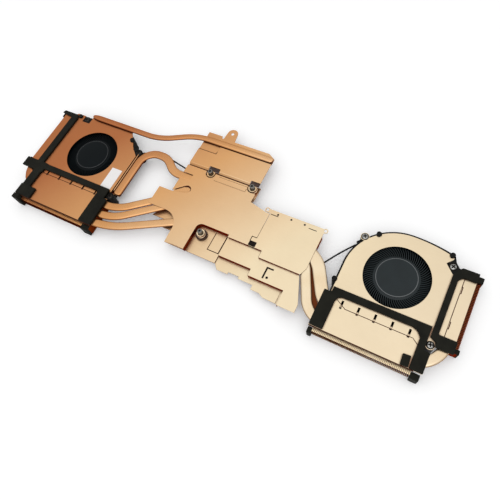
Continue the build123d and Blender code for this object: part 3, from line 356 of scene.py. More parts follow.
looks = {
    "sheet": copper("sheet_copper"),
    # paler copper: the bushings' own colour, and a painted highlight on the bends of the beads that take it
    "pale_and_highlight": copper("pale_and_highlight_copper", tint=(1.16, 1.32, 1.5), bend=(0.15, 0.5), reach=0.3),
    "pipe": copper("pipe_copper", tint=(1.0, 1.0, 1.03), rough=(0.26, 0.34), grain=(12, 12, 12),
                   edge=(0.16, 0.05, 0.02), bend=(0.2, 0.88), reach=0.5, stain=(0.88, 0.79, 0.68, 1)),
    "fin": copper("fin_copper", tint=(1.14, 1.1, 1.02), rough=(0.36, 0.5), reach=0.3),
    # darker copy of the fin copper: painted shade on the right side fins
    "fin_shaded": copper("fin_shaded_copper", tint=(0.66, 0.2, 0.11), rough=(0.36, 0.5), edge=(0.4, 0.3, 0.25)),
    # very dark copper: painted shade between the right heat pipes
    "gap_shade": copper("pipe_gap_shade", tint=(0.16, 0.05, 0.025), rough=(0.4, 0.55)),
    # dark brown beads: painted shade along seams, folds, lips and scored lines
    "shade_line": moulded("seam_shade_line", (0.060, 0.016, 0.006), rough=(0.45, 0.6), gloss=0.1),
    # near-black fill: painted shade under windows, slots and holes, and in and round the fan screws
    "shade_fill": moulded("dark_shade_fill", (0.010, 0.006, 0.004), rough=(0.5, 0.65), gloss=0.1),
    "housing": moulded("housing_plastic", (0.0045, 0.0045, 0.0040), rough=(0.4, 0.55), gloss=0.14),
    # lighter plastic of the hub rims: a painted highlight
    "rim_left": moulded("hub_rim_highlight_left", (0.022, 0.025, 0.027), rough=(0.25, 0.35), gloss=0.4),
    "rim_right": moulded("hub_rim_highlight_right", (0.10, 0.108, 0.112), rough=(0.25, 0.35), gloss=0.6),
    "rotor_left": moulded("rotor_plastic_left", (0.002, 0.004, 0.005), rough=(0.28, 0.4), gloss=0.09),
    "rotor_right": moulded("rotor_plastic_right", (0.010, 0.016, 0.018), rough=(0.26, 0.38), gloss=0.26),
    "foam": foam("gasket_foam", (0.0100, 0.0098, 0.0066)),
    "steel": steel("bright_steel", (0.42, 0.42, 0.40)),
    "clip": steel("screw_clip_steel", (0.085, 0.058, 0.050), rough=(0.35, 0.5)),
    "gunmetal": steel("captive_screw_steel", (0.20, 0.195, 0.18), rough=(0.28, 0.42)),
    "dark_steel": steel("dark_steel", (0.045, 0.042, 0.038), rough=(0.35, 0.5)),
    "bronze": copper("bearing_bronze", tint=(0.55, 0.55, 0.5), rough=(0.5, 0.65)),
    "laminations": moulded("stator_laminations", (0.14, 0.09, 0.05)),
    "magnet": moulded("bonded_magnet", (0.05, 0.05, 0.05), rough=(0.55, 0.7)),
    "label": paper("blank_label", (0.88, 0.86, 0.84)),
    "lead": moulded("lead_sleeve", (0.006, 0.006, 0.006), rough=(0.5, 0.65), gloss=0.2),
}


def look_of(name):
    """Name of the look that a node of the frame takes."""
    side = "left" if name.startswith("left") else "right"
    words = (
        ("heat_pipe", "pipe"), ("_fins", "fin"), ("cover", "sheet"), ("_plate", "sheet"),
        ("bracket", "sheet"), ("collars", "sheet"), ("housing", "housing"), ("plug", "housing"),
        ("impeller", f"rotor_{side}"), ("gasket", "foam"), ("foam_pad", "foam"), ("wraps", "foam"),
        ("left_fan_screws", "dark_steel"), ("clips", "clip"), ("captive_screw", "gunmetal"),
        ("screws", "steel"), ("shaft", "steel"), ("bearing", "bronze"), ("stator", "laminations"),
        ("magnet", "magnet"), ("label", "label"), ("lead", "lead"),
    )
    return next(look for word, look in words if word in name)


# Edge radii by words in a node's name and of all other nodes, and the least angle in degrees that is rounded
EDGE = {"housing": 0.2, "collars": 0.2, "label": 0.02, "upper_plate": 0.3}
SHEET_EDGE = 0.18
EDGE_ANGLE = 38

# Metres within which vertices are joined: those of a node, and those where a turned profile closes
WELD = 2e-6
SAME_PLACE = 1e-7


def dress_node(name):
    """Gives a node of the frame its material and softly rounded edges."""
    piece = nodes[name]
    piece.data.materials.clear()
    piece.data.materials.append(looks[look_of(name)])
    piece.data.polygons.foreach_set("use_smooth", [True] * len(piece.data.polygons))
    if "custom_normal" in piece.data.attributes:
        piece.data.attributes.remove(piece.data.attributes["custom_normal"])
    weld = piece.modifiers.new("weld", "WELD")
    weld.merge_threshold = WELD
    edge = piece.modifiers.new("edge", "BEVEL")
    edge.width = next((w for key, w in EDGE.items() if key in name), SHEET_EDGE) * MM
    edge.segments = 2
    edge.limit_method = "ANGLE"
    edge.angle_limit = math.radians(EDGE_ANGLE)
    edge.harden_normals = True


# Pieces made here, in millimetres until their vertices are set


def point(bm, x, y, z):
    """New vertex at a place in millimetres."""
    return bm.verts.new((x * MM, y * MM, z * MM))


def add_piece(bm, name, look, body, slot, *replaced, crease=35.0):
    """Finished object of a mesh, smooth but for its sharp edges, riding on a body."""
    bmesh.ops.recalc_face_normals(bm, faces=bm.faces)
    for face in bm.faces:
        face.smooth = True
    for edge in bm.edges:
        edge.smooth = edge.calc_face_angle(0.0) < math.radians(crease)
    mesh = bpy.data.meshes.new(name)
    bm.to_mesh(mesh)
    bm.free()
    mesh.materials.append(looks[look])
    piece = bpy.data.objects.new(name, mesh)
    bpy.context.scene.collection.objects.link(piece)
    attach(piece, body)
    if replaced:
        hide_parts(*replaced)
    return piece


def beyond(place, offset):
    """Place at an offset from another."""
    return place[0] + offset[0], place[1] + offset[1]


def polar(place, radius, angle):
    """Place at a radius and an angle round another."""
    return place[0] + radius * math.cos(angle), place[1] + radius * math.sin(angle)


def turned(place, u, v, angle):
    """Place at an offset from another, the offset turned by an angle."""
    return (
        place[0] + u * math.cos(angle) - v * math.sin(angle),
        place[1] + u * math.sin(angle) + v * math.cos(angle),
    )


def heading(line, k):
    """Direction of a line at one of its points."""
    return (line[min(k + 1, len(line) - 1)] - line[max(k - 1, 0)]).normalized()


def beside(here, ahead, offset):
    """Place to the left of a point on a line, or to its right where the offset is negative."""
    return here.x - ahead.y * offset, here.y + ahead.x * offset


def lathe(bm, place, profile, count):
    """Turns a profile of (radius, height) points round an upright axis."""
    rings = []
    for radius, height in profile:
        turns = [math.tau * k / count for k in range(count if radius else 1)]
        rings.append([point(bm, *polar(place, radius, a), height) for a in turns])
    for low, high in zip(rings, rings[1:]):
        for k in range(count):
            j = k + 1
            corners = [low[k % len(low)], low[j % len(low)], high[j % len(high)], high[k % len(high)]]
            corners = list(dict.fromkeys(corners))
            if len(corners) > 2:
                bm.faces.new(corners)


def lathe_ring(bm, place, profile, count):
    """Turns a profile that ends where it starts, and joins its two ends."""
    lathe(bm, place, profile, count)
    bmesh.ops.remove_doubles(bm, verts=bm.verts, dist=SAME_PLACE)


def skin(bm, rings):
    """Faces between rings of vertices, closed by the two end rings."""
    for one, other in zip(rings, rings[1:]):
        for k in range(len(one)):
            j = (k + 1) % len(one)
            bm.faces.new((one[k], one[j], other[j], other[k]))
    bm.faces.new(rings[0])
    bm.faces.new(rings[-1])


def sweep(bm, line, section):
    """Draws a section of (offset, height) points along a level line."""
    rings = []
    for k, here in enumerate(line):
        ahead = heading(line, k)
        rings.append([point(bm, *beside(here, ahead, offset), z) for offset, z in section])
    skin(bm, rings)


def prism(bm, outline, low, high):
    """Upright block over a plan outline."""
    skin(bm, [[point(bm, x, y, z) for x, y in outline] for z in (low, high)])


def worked_out(target, *helpers):
    """New bmesh of an object with its modifiers worked out, after which the objects are removed."""
    bpy.context.view_layer.update()
    graph = bpy.context.evaluated_depsgraph_get()
    mesh = bpy.data.meshes.new_from_object(target.evaluated_get(graph))
    for item in (target, *helpers):
        bpy.data.objects.remove(item)
    bm = bmesh.new()
    bm.from_mesh(mesh)
    bpy.data.meshes.remove(mesh)
    return bm


def blank(mesh):
    """Plain object of a mesh, used while another piece is made."""
    item = bpy.data.objects.new("blank", mesh)
    bpy.context.scene.collection.objects.link(item)
    return item


def carved(body_bm, tool_bm):
    """First mesh with the second cut out of it."""
    items = []
    for bm in (body_bm, tool_bm):
        bmesh.ops.recalc_face_normals(bm, faces=bm.faces)
        mesh = bpy.data.meshes.new("blank")
        bm.to_mesh(mesh)
        bm.free()
        items.append(blank(mesh))
    cut = items[0].modifiers.new("cut", "BOOLEAN")
    cut.operation = "DIFFERENCE"
    cut.solver = "EXACT"
    cut.object = items[1]
    return worked_out(*items)


# Axes of the fans
LEFT_FAN = (-117.75, -0.9)
RIGHT_FAN = (120.05, -5.1)

# Impellers: blades, and the profiles of the hub and of the rim round its cap, whose lighter plastic is a
# painted highlight
BLADES = 77
BLADE_STEPS = 7
BLADE_ROOT, BLADE_TIP = 13.2, 26.0
BLADE_LOW, BLADE_TOP = 1.8, 8.6
BLADE_SWEEP = math.radians(26)
BLADE_CURVE = 0.4
BLADE_HALF = 0.24
BLADE_THINNING = 0.08
BLADE_DIP = 0.25
HUB_SIDES = 96
HUB = (
    (0, 9.40), (11.9, 9.40), (12.2, 9.36), (12.42, 9.22), (12.5, 9.0), (12.5, 8.72), (12.7, 8.60),
    (13.4, 8.56), (13.75, 8.50), (13.95, 8.36), (14.0, 8.15), (14.0, 1.80), (12.6, 1.80), (12.6, 7.80),
    (0, 7.80),
)
RIM = (
    (12.0, 9.35), (12.08, 9.40), (12.2, 9.43), (12.38, 9.41), (12.5, 9.32), (12.56, 9.15), (12.4, 9.1),
    (12.0, 9.1), (12.0, 9.35),
)


def make_impeller(side, fan):
    """Hub with a stepped cap, and thin blades swept back in a curve."""
    bm = bmesh.new()
    lathe(bm, fan, HUB, HUB_SIDES)
    for blade in range(BLADES):
        rings = []
        for step in range(BLADE_STEPS + 1):
            u = step / BLADE_STEPS
            radius = BLADE_ROOT + (BLADE_TIP - BLADE_ROOT) * u
            middle = math.tau * blade / BLADES + BLADE_SWEEP * (u - BLADE_CURVE * u * (1 - u))
            half = (BLADE_HALF - BLADE_THINNING * u) / radius
            top = BLADE_TOP - BLADE_DIP * (1 - u)
            rings.append([
                point(bm, *polar(fan, radius, middle + way * half), z)
                for way, z in ((-1, BLADE_LOW), (1, BLADE_LOW), (1, top), (-1, top))
            ])
        skin(bm, rings)
    node = f"{side}_fan_impeller"
    add_piece(bm, f"{side}_impeller", f"rotor_{side}", f"{side}_rotor", "impeller_plastic", node, crease=30)


def make_rim(side, fan):
    """Rim round the hub's cap, in a lighter plastic as a painted highlight."""
    bm = bmesh.new()
    lathe_ring(bm, fan, RIM, HUB_SIDES)
    add_piece(bm, f"{side}_hub_rim", f"rim_{side}", f"{side}_rotor", "impeller_plastic")


# Fin stacks: pitch, sheet, width of the fold, shortest run that is made, and length and drop of bare ends
FIN_PITCH = 0.98
FIN_SHEET = 0.16
FIN_FOLD = 0.74
FIN_SHORTEST = 0.1
SIDE_BARE = 2.8
BARE_DROP = 0.3
ALONG_X, ALONG_Y = 0, 1


def make_fins(name, along, bare=(0, 0), look="fin"):
    """Stack of folded fins over the box of a node, spaced along an axis.

    The fold at the top stops short of each end by the bare length there.
    """
    low, high = ([v / MM for v in corner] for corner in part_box(name))
    across = 1 - along
    count = int((high[along] - low[along] - FIN_FOLD) / FIN_PITCH) + 1
    start = (low[along] + high[along] - (count - 1) * FIN_PITCH - FIN_FOLD) / 2
    bottom, top = low[2], high[2]
    folded = (
        (0, bottom), (FIN_FOLD, bottom), (FIN_FOLD, bottom + FIN_SHEET), (FIN_SHEET, bottom + FIN_SHEET),
        (FIN_SHEET, top - FIN_SHEET), (FIN_FOLD, top - FIN_SHEET), (FIN_FOLD, top), (0, top),
    )
    bare_top = top - BARE_DROP
    plain = ((0, bottom), (FIN_SHEET, bottom), (FIN_SHEET, bare_top), (0, bare_top))
    ends = (low[across], low[across] + bare[0], high[across] - bare[1], high[across])
    bm = bmesh.new()
    for number in range(count):
        for profile, one, other in ((plain, *ends[:2]), (folded, *ends[1:3]), (plain, *ends[2:])):
            if other - one < FIN_SHORTEST:
                continue
            rings = []
            for end in (one, other):
                places = [(start + number * FIN_PITCH + offset, end, z) for offset, z in profile]
                rings.append([point(bm, *((u, v) if along == ALONG_X else (v, u)), z) for u, v, z in places])
            skin(bm, rings)
    add_piece(bm, f"{name}_folded", look, "module", "fin_copper", name)


# Heat pipes: flattened section, closed ends, and the undersides of the low ones and the one at the back
PIPE_T = 2.0
PIPE_ROUND = 1.6
ROUND_STEPS = 7
BEND_STEP = 4
BEND_FEWEST = 3
END_SHARES = (0.0, 0.06, 0.16, 0.3, 0.5, 0.75)
END_WIDTH = 0.3
END_HEIGHT = 0.5
PIPE_LOW = 7.6
BACK_PIPE_LOW = 10.0

# Width, underside, bend radii and corners of each pipe, and its ends' taper where that isn't half a width
PIPES = {
    "left_heat_pipe_rear": (
        6.0, PIPE_LOW, (30, 30),
        ((-146.75, -33.8), (-72.8, -33.8), (-29.14, -0.9), (19.8, -0.9)),
    ),
    "left_heat_pipe_middle": (
        6.0, PIPE_LOW, (16, 30, 30),
        ((-158.75, 24.5), (-158.75, -41.35), (-72.1, -41.35), (-27.98, -8.1), (19.8, -8.1)),
    ),
    "left_heat_pipe_front": (
        6.0, PIPE_LOW, (60, 20),
        ((-150.25, -48.9), (-70.7, -48.9), (-7.51, -15.3), (19.8, -15.3)),
    ),
    "right_heat_pipe_rear": (
        8.5, PIPE_LOW, (20, 14),
        ((23.8, -9.3), (70.35, -9.3), (87.32, -38.7), (145.25, -38.7)),
    ),
    "right_heat_pipe_front": (
        6.5, PIPE_LOW, (8, 16, 16.4),
        ((33.2, -17.3), (65.8, -17.3), (81.11, -48.7), (157.95, -48.7), (157.95, 10.5)),
    ),
    "back_heat_pipe": (
        4.6, BACK_PIPE_LOW, (45, 45),
        ((-137.2, 29.4), (-74.2, 29.4), (-47.7, 42.5), (14.3, 42.5)), (1.6, 0.6),
    ),
    "loop_heat_pipe": (
        6.4, PIPE_LOW, (12, 14, 14),
        ((-79.45, -23.7), (-79.45, 18.0), (-60.2, 18.0), (-49.7, 8.9), (-26.2, 8.9)), (0.35, 0.5),
    ),
}


def bent_route(corners, radii):
    """Points along straight runs and round bends."""
    corners = [Vector(corner) for corner in corners]
    route = [corners[0]]
    for before, corner, after, radius in zip(corners, corners[1:], corners[2:], radii):
        way_in = (corner - before).normalized()
        way_out = (after - corner).normalized()
        turn = math.atan2(way_in.x * way_out.y - way_in.y * way_out.x, way_in.dot(way_out))
        start = corner - way_in * radius * math.tan(abs(turn) / 2)
        centre = start + math.copysign(radius, turn) * Vector((-way_in.y, way_in.x))
        arm = start - centre
        steps = max(BEND_FEWEST, round(math.degrees(abs(turn)) / BEND_STEP))
        route += [Vector(turned(centre, *arm, turn * k / steps)) for k in range(steps + 1)]
    route.append(corners[-1])
    return route


def make_pipe(name, width, low, radii, corners, taper=(0.5, 0.5)):
    """Flattened pipe with round sides and closed, rounded ends."""
    route = bent_route(corners, radii)
    first = (route[1] - route[0]).normalized() * width * taper[0]
    last = (route[-2] - route[-1]).normalized() * width * taper[1]
    path = [(route[0] + first * share, share) for share in END_SHARES]
    path += [(route[0] + first, 1.0)] + [(place, 1.0) for place in route[1:-1]] + [(route[-1] + last, 1.0)]
    path += [(route[-1] + last * share, share) for share in reversed(END_SHARES)]
    section = []
    for side, first_turn in ((1, -0.5), (-1, 0.5)):
        for step in range(2 * ROUND_STEPS + 1):
            a = math.pi * (first_turn + step / (2 * ROUND_STEPS))
            section.append((
                side * (width / 2 - PIPE_ROUND) + PIPE_ROUND * math.cos(a),
                PIPE_T / 2 * math.sin(a),
            ))
    places = [place for place, _ in path]
    middle = low + PIPE_T / 2
    bm = bmesh.new()
    rings = []
    for k, (here, share) in enumerate(path):
        ahead = heading(places, k)
        narrow = END_WIDTH + (1 - END_WIDTH) * math.sqrt(1 - (1 - share) ** 2)
        thin = END_HEIGHT + (1 - END_HEIGHT) * narrow
        rings.append([point(bm, *beside(here, ahead, u * narrow), middle + v * thin) for u, v in section])
    skin(bm, rings)
    add_piece(bm, f"{name}_tube", "pipe", "module", "pipe_copper", name, crease=60)


# Captive screws, and the springs under their heads
SCREWS = {1: (-22.7, 17.65), 2: (10.6, 17.65), 3: (-6.05, -26.4)}
SCREW_SIDES = 40
SCREW = (
    (0, 12.9), (1.45, 12.9), (1.7, 12.7), (1.75, 12.5), (1.75, 11.3), (1.6, 11.15), (1.35, 11.1),
    (1.35, 10.55), (1.7, 10.5), (1.75, 10.4), (1.75, 10.0), (1.0, 10.0), (1.0, 4.0), (0.7, 3.6), (0, 3.6),
)
SOCKET_SIDES = 6
SOCKET_R = 0.95
SOCKET_LOW, SOCKET_TOP = 11.6, 13.5
COIL_TURNS = 5
COIL_STEPS = 24
COIL_FLAT_STEPS = 18
COIL_R = 1.4
COIL_LOW, COIL_TOP = 6.0, 10.0
WIRE_R = 0.2
WIRE_SIDES = 8


def make_captive_screw(number, place):
    """Turned screw with a six-sided socket."""
    name = f"captive_screw_{number}"
    bm, socket = bmesh.new(), bmesh.new()
    lathe(bm, place, SCREW, SCREW_SIDES)
    corners = [math.tau * k / SOCKET_SIDES for k in range(SOCKET_SIDES)]
    prism(socket, [polar(place, SOCKET_R, a) for a in corners], SOCKET_LOW, SOCKET_TOP)
    cut = carved(bm, socket)
    add_piece(cut, f"{name}_turned", "gunmetal", f"screw_{number}", "bright_steel", name, crease=28)


def make_spring(number, place):
    """Coil spring with flat ends."""
    bm = bmesh.new()
    rings = []
    steps = COIL_TURNS * COIL_STEPS
    climb = COIL_TOP - COIL_LOW - 2 * WIRE_R
    around = [math.tau * j / WIRE_SIDES for j in range(WIRE_SIDES)]
    for k in range(steps + 1):
        a = math.tau * k / COIL_STEPS
        rise = min(1.0, max(0.0, (k - COIL_FLAT_STEPS) / (steps - 2 * COIL_FLAT_STEPS)))
        z = COIL_LOW + WIRE_R + climb * rise
        wire = [(COIL_R + WIRE_R * math.cos(b), z + WIRE_R * math.sin(b)) for b in around]
        rings.append([point(bm, *polar(place, radius, a), height) for radius, height in wire])
    skin(bm, rings)
    node = f"captive_screw_spring_{number}"
    spring = add_piece(bm, f"captive_screw_{number}_coil", "gunmetal", "module", "bright_steel", node)
    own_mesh(spring)


# Bushings round the captive screws, and the dark ring under one of them
COLLAR_SIDES = 48
COLLAR = (
    (1.9, 6.0), (3.2, 6.0), (3.2, 7.95), (3.05, 8.2), (2.9, 8.3), (2.9, 9.7), (2.8, 9.9), (2.65, 9.95),
    (2.1, 9.95), (1.95, 9.9), (1.9, 9.75), (1.9, 6.0),
)
BASE = ((3.1, 6.0), (3.9, 6.0), (4.0, 6.1), (4.0, 7.3), (3.85, 7.5), (3.1, 7.5), (3.1, 6.0))


def make_collars():
    """Flanged copper bushings round the captive screws, and the dark ring under the third."""
    bm = bmesh.new()
    for place in SCREWS.values():
        lathe_ring(bm, place, COLLAR, COLLAR_SIDES)
    add_piece(bm, "captive_screw_bushings", "pale_and_highlight", "module", "sheet_copper", "captive_screw_collars")
    bm = bmesh.new()
    lathe_ring(bm, SCREWS[3], BASE, COLLAR_SIDES)
    add_piece(bm, "captive_screw_3_base", "clip", "module", "dark_steel")


# Beads along seams, folds and scored lines, the dark ones painted shade and the pale ones painted
# highlights: look, half width, foot and top, then the line
BEAD_SHOULDER = 0.08
BEAD_FLAT = 0.55
SEAMS = {
    "right_front_seam": ("shade_line", 0.27, 9.65, 10.03, (
        (146.25, -40.45), (144.05, -39.05), (140.55, -36.45), (100.05, -36.45), (93.55, -32.65),
        (88.15, -32.05))),
    "right_side_seam": ("shade_line", 0.27, 9.65, 10.03, (
        (155.5, -29.5), (155.5, -23.6), (156.1, -23.4), (156.1, -19.2), (155.5, -19.0), (155.5, -0.8),
        (156.1, -0.6), (156.1, 3.6), (155.5, 3.8), (155.5, 9.1))),
    "left_front_seam": ("shade_line", 0.27, 9.65, 10.03, ((-153.75, -29.55), (-86.35, -29.55))),
    "right_front_lip": ("shade_line", 0.3, 8.9, 10.03, ((84.3, -53.68), (146.6, -53.68))),
    "left_front_lip": ("shade_line", 0.3, 8.9, 10.03, ((-153.6, -52.58), (-83.2, -52.58))),
    "panel_fold": ("shade_line", 0.32, 9.62, 9.95, ((-17.2, 18.85), (7.6, 18.85))),
    "panel_fold_left": ("shade_line", 0.3, 9.62, 9.9, ((-41.2, 18.75), (-26.0, 18.75))),
    # pale beads: painted highlights along the panel's bends
    "panel_bend": ("pale_and_highlight", 0.25, 10.5, 10.84, ((-17.0, 20.7), (7.4, 20.7))),
    "panel_bend_left": ("pale_and_highlight", 0.25, 10.5, 10.84, ((-41.4, 20.7), (-26.0, 20.7))),
    "flap_edge": ("shade_line", 0.2, 10.02, 10.78, ((-41.6, 33.33), (-26.95, 33.33), (-26.95, 35.4))),
    "panel_score": ("shade_line", 0.17, 9.9, 10.015, ((-15.6, 17.2), (7.3, 17.2))),
    "pocket_score": ("shade_line", 0.2, 5.55, 5.99, (
        (2.33, -20.6), (2.33, -33.98), (10.76, -33.98), (10.76, -20.6))),
    "right_plate_corner": ("shade_line", 0.1, 9.6, 10.01, ((37.6, -22.0), (37.6, -26.9))),
    "step_plate_corner": ("shade_line", 0.1, 8.0, 8.41, ((36.3, -35.6), (36.3, -40.1))),
    "notch_rim": ("shade_line", 0.13, 9.5, 9.93, (
        (-40.3, -3.3), (-34.3, 1.8), (-33.3, 2.3), (-31.9, 2.4), (-30.5, 1.8), (-29.7, 0.5), (-29.6, -0.9))),
    "notch_lip": ("shade_line", 0.45, 9.5, 9.9, ((-34.5, 1.2), (-33.2, 1.95), (-31.8, 2.05), (-30.5, 1.4))),
    # pale bead: painted highlight along the cover's bend beside the loop pipe
    "loop_lip": ("pale_and_highlight", 0.33, 9.1, 10.0, ((-82.6, -21.6), (-82.6, 12.2))),
}


def make_bead(name):
    """Low rounded bead along a line."""
    look, half, foot, top, line = SEAMS[name]
    line = [Vector(place) for place in line]
    flat, shoulder = BEAD_FLAT * half, top - BEAD_SHOULDER
    section = ((-half, foot), (half, foot), (half, shoulder), (flat, top), (-flat, top), (-half, shoulder))
    bm = bmesh.new()
    sweep(bm, line, section)
    # dark beads paint shade, pale beads paint highlights
    add_piece(bm, name, look, "module", "sheet_copper" if look == "pale_and_highlight" else "bearing_bronze")


# Dark fillings that paint the shade seen through windows, slots and holes: sides of a dot, chamfer and the
# height it starts from
DOT_SIDES = 24
SHADE_FILL_CHAMFER = 0.02
CHAMFER_ABOVE = 8.3


def dot(x, y, radius):
    """Round outline."""
    return [polar((x, y), radius, math.tau * k / DOT_SIDES) for k in range(DOT_SIDES)]


def patch(x, y, half_x, half_y):
    """Outline of an upright rectangle round a place."""
    return [(x + u * half_x, y + v * half_y) for u, v in ((-1, -1), (1, -1), (1, 1), (-1, 1))]


# Foot, top and outline of each filling
SEAM_WINDOW = ((27.3, -21.95), (32.1, -21.95), (32.1, -18.2), (27.3, -18.2))
STEP_SLOT = (
    (45.32, -38.18), (46.28, -38.18), (46.28, -30.98), (50.18, -30.98), (50.18, -30.02), (45.32, -30.02),
)
SHADE_FILLS = (
    (9.62, 9.95, SEAM_WINDOW),
    (7.9, 8.36, STEP_SLOT),
    (7.9, 8.36, dot(48.3, -36.8, 0.84)),
    *((9.65, 9.94, dot(x, 5.7, 0.62)) for x in (36.0, 45.6, 55.2)),
    *((9.65, 9.97, patch(x, -36.8, 0.6, 0.6)) for x in (97.25, 107.4, 117.55, 127.7, 137.85)),
    *((9.65, 9.97, patch(x, -29.9, 0.6, 0.6)) for x in (-140.55, -129.15, -117.75, -106.35, -94.95)),
    *((9.65, 9.97, patch(x, 4.4, 2.7, 0.13)) for x in (34.0, 61.3)),
)


def make_shade_fills():
    """Thin dark fillings that paint shade, with a small chamfer."""
    bm = bmesh.new()
    for foot, top, outline in SHADE_FILLS:
        prism(bm, outline, foot, top)
    bmesh.ops.recalc_face_normals(bm, faces=bm.faces)
    edges = [edge for edge in bm.edges if all(v.co.z > CHAMFER_ABOVE * MM for v in edge.verts)]
    bmesh.ops.bevel(bm, geom=edges, offset=SHADE_FILL_CHAMFER * MM, segments=1, affect="EDGES")
    add_piece(bm, "dark_shade_fills", "shade_fill", "module", "foam")


# Copper seen through the main plate's drop-shaped notch: its round end and its tail
NOTCH_AT = (-32.4, -0.5)
NOTCH_R = 3.7
NOTCH_TAIL = ((-34.4, 2.4), (-40.6, -3.4), (-40.6, -6.0), (-31.6, -3.8))
NOTCH_FOOT, NOTCH_TOP = 9.15, 9.52
NOTCH_SIDES = 48
TAIL_DROP = 0.03


def make_notch_floor():
    """Copper a little below the main plate, behind its notch."""
    bm = bmesh.new()
    disc = ((0, NOTCH_TOP), (NOTCH_R, NOTCH_TOP), (NOTCH_R, NOTCH_FOOT), (0, NOTCH_FOOT))
    lathe(bm, NOTCH_AT, disc, NOTCH_SIDES)
    prism(bm, NOTCH_TAIL, NOTCH_FOOT, NOTCH_TOP - TAIL_DROP)
    add_piece(bm, "notch_floor", "pipe", "module", "pipe_copper")


# Painted shade between the right heat pipes, as a dark copper strip: corners, bend radii and section
GAP_SHADE_CORNERS = ((60.0, -13.6), (66.6, -13.6), (82.6, -42.6), (92.0, -43.6))
GAP_SHADE_RADII = (14, 14)
GAP_SHADE_SECTION = ((-1.9, 7.7), (1.9, 7.7), (1.9, 8.35), (0.7, 8.15), (-0.7, 8.15), (-1.9, 8.35))


def make_pipe_gap_shade():
    """Dark copper strip that paints the shade between the two right heat pipes, where they run side by side.
    """
    bm = bmesh.new()
    sweep(bm, bent_route(GAP_SHADE_CORNERS, GAP_SHADE_RADII), GAP_SHADE_SECTION)
    add_piece(bm, "right_pipe_gap_shade", "gap_shade", "module", "pipe_copper")


# Fan screws: profile from the seat up, and each side's look, fan, and offsets and seats
PAN_SIDES = 32
PAN = (
    (0, 0.80), (0.7, 0.78), (1.3, 0.68), (1.7, 0.48), (1.95, 0.2), (2.0, 0.05), (2.0, 0), (0.75, 0),
    (0.75, -3.6), (0.4, -4.0), (0, -4.0),
)
FAN_SCREWS = {
    "left": ("dark_steel", LEFT_FAN, (((-24.2, 26.2), 9.6), ((34.3, 14.4), 9.6), ((35.3, -26.1), 9.6))),
    "right": ("steel", RIGHT_FAN, (((-26.8, 17.8), 10.0), ((27.3, 19.1), 9.6), ((30.1, -31.2), 10.0))),
}

# Cross recess, the painted shade in it and the painted shadow ring round the head, from the seat up
CROSS = patch(0, 0, 1.3, 0.4)
CROSS_TURN, CROSS_TURN_STEP = 25, 40
CROSS_LOW, CROSS_TOP = 0.15, 1.6
RECESS_SHADE_SHARE = 0.97
RECESS_SHADE_LOW, RECESS_SHADE_TOP = 0.1, 0.36
RECESS_SHADE_STEP = 0.01
SHADOW_RING = ((1.9, 0.0), (2.35, 0.0), (2.4, 0.06), (2.3, 0.14), (1.9, 0.16), (1.9, 0.0))


def make_fan_screws(side):
    """Pan-head screws with painted shade in their cross recesses, on painted shadow rings."""
    look, fan, places = FAN_SCREWS[side]
    whole, screw_shade = bmesh.new(), bmesh.new()
    for number, (offset, seat) in enumerate(places):
        place = beyond(fan, offset)
        bm = bmesh.new()
        lathe(bm, place, [(r, seat + z) for r, z in PAN], PAN_SIDES)
        lathe(screw_shade, place, [(r, seat + z) for r, z in SHADOW_RING], PAN_SIDES)
        for quarter in range(2):
            turn = math.radians(CROSS_TURN + CROSS_TURN_STEP * number + 90 * quarter)
            recess = bmesh.new()
            prism(recess, [turned(place, u, v, turn) for u, v in CROSS], seat + CROSS_LOW, seat + CROSS_TOP)
            bm = carved(bm, recess)
            shaded = [turned(place, RECESS_SHADE_SHARE * u, RECESS_SHADE_SHARE * v, turn) for u, v in CROSS]
            prism(screw_shade, shaded, seat + RECESS_SHADE_LOW, seat + RECESS_SHADE_TOP + RECESS_SHADE_STEP * quarter)
        mesh = bpy.data.meshes.new("screw")
        bm.to_mesh(mesh)
        bm.free()
        whole.from_mesh(mesh)
        bpy.data.meshes.remove(mesh)
    slot = "dark_steel" if side == "left" else "bright_steel"
    add_piece(whole, f"{side}_fan_pan_screws", look, "module", slot, f"{side}_fan_screws", crease=28)
    add_piece(screw_shade, f"{side}_fan_screw_shadow_rings", "shade_fill", "module", "dark_steel")


# Small stepped blocks of the left moulding, between its pin and its screw lug: offset, half width and top
LUG_STEPS = (((27.2, 20.3), 1.1, 10.5), ((29.0, 18.3), 1.35, 10.8), ((30.7, 16.1), 1.7, 10.4))
LUG_TURN = math.radians(-36)
LUG_FOOT = 9.5
LUG_CHAMFER = 0.3
LUG_PIN = (23.9, 21.9)
PIN_SIDES = 24
DOME_PIN = ((0, 11.0), (0.6, 10.95), (1.1, 10.75), (1.45, 10.4), (1.6, 9.95), (1.6, 9.5), (0, 9.5))
EYELET_SIDES = 32
EYELET = (
    (1.95, 9.6), (2.75, 9.6), (2.8, 9.7), (2.75, 9.9), (2.6, 9.98), (2.1, 9.98), (1.95, 9.85), (1.95, 9.6),
)


def make_left_lug():
    """Chamfered blocks and a pin along the left moulding's arm, and eyelets round two of its screws."""
    bm = bmesh.new()
    for offset, half, top in LUG_STEPS:
        place = beyond(LEFT_FAN, offset)
        rings = []
        for size, z in ((half, LUG_FOOT), (half, top - LUG_CHAMFER), (half - LUG_CHAMFER, top)):
            rings.append([point(bm, *turned(place, u, v, LUG_TURN), z) for u, v in patch(0, 0, size, size)])
        skin(bm, rings)
    lathe(bm, beyond(LEFT_FAN, LUG_PIN), DOME_PIN, PIN_SIDES)
    add_piece(bm, "left_lug_steps", "housing", "module", "housing_plastic")
    _, fan, places = FAN_SCREWS["left"]
    bm = bmesh.new()
    for offset, _ in places[1:]:
        lathe(bm, beyond(fan, offset), EYELET, EYELET_SIDES)
    add_piece(bm, "left_screw_eyelets", "housing", "module", "housing_plastic")


# Fan leads, held by the moulding at one end and by a plug at the other
LEAD_D = 1.1
LEADS = {
    "left": (6.6, ((-79.9, 15.7), (-69.0, 21.2), (-54.5, 18.2), (-40.5, 15.4))),
    "right": (6.0, ((90.6, 8.0), (83.2, -0.7), (75.8, -13.3))),
}


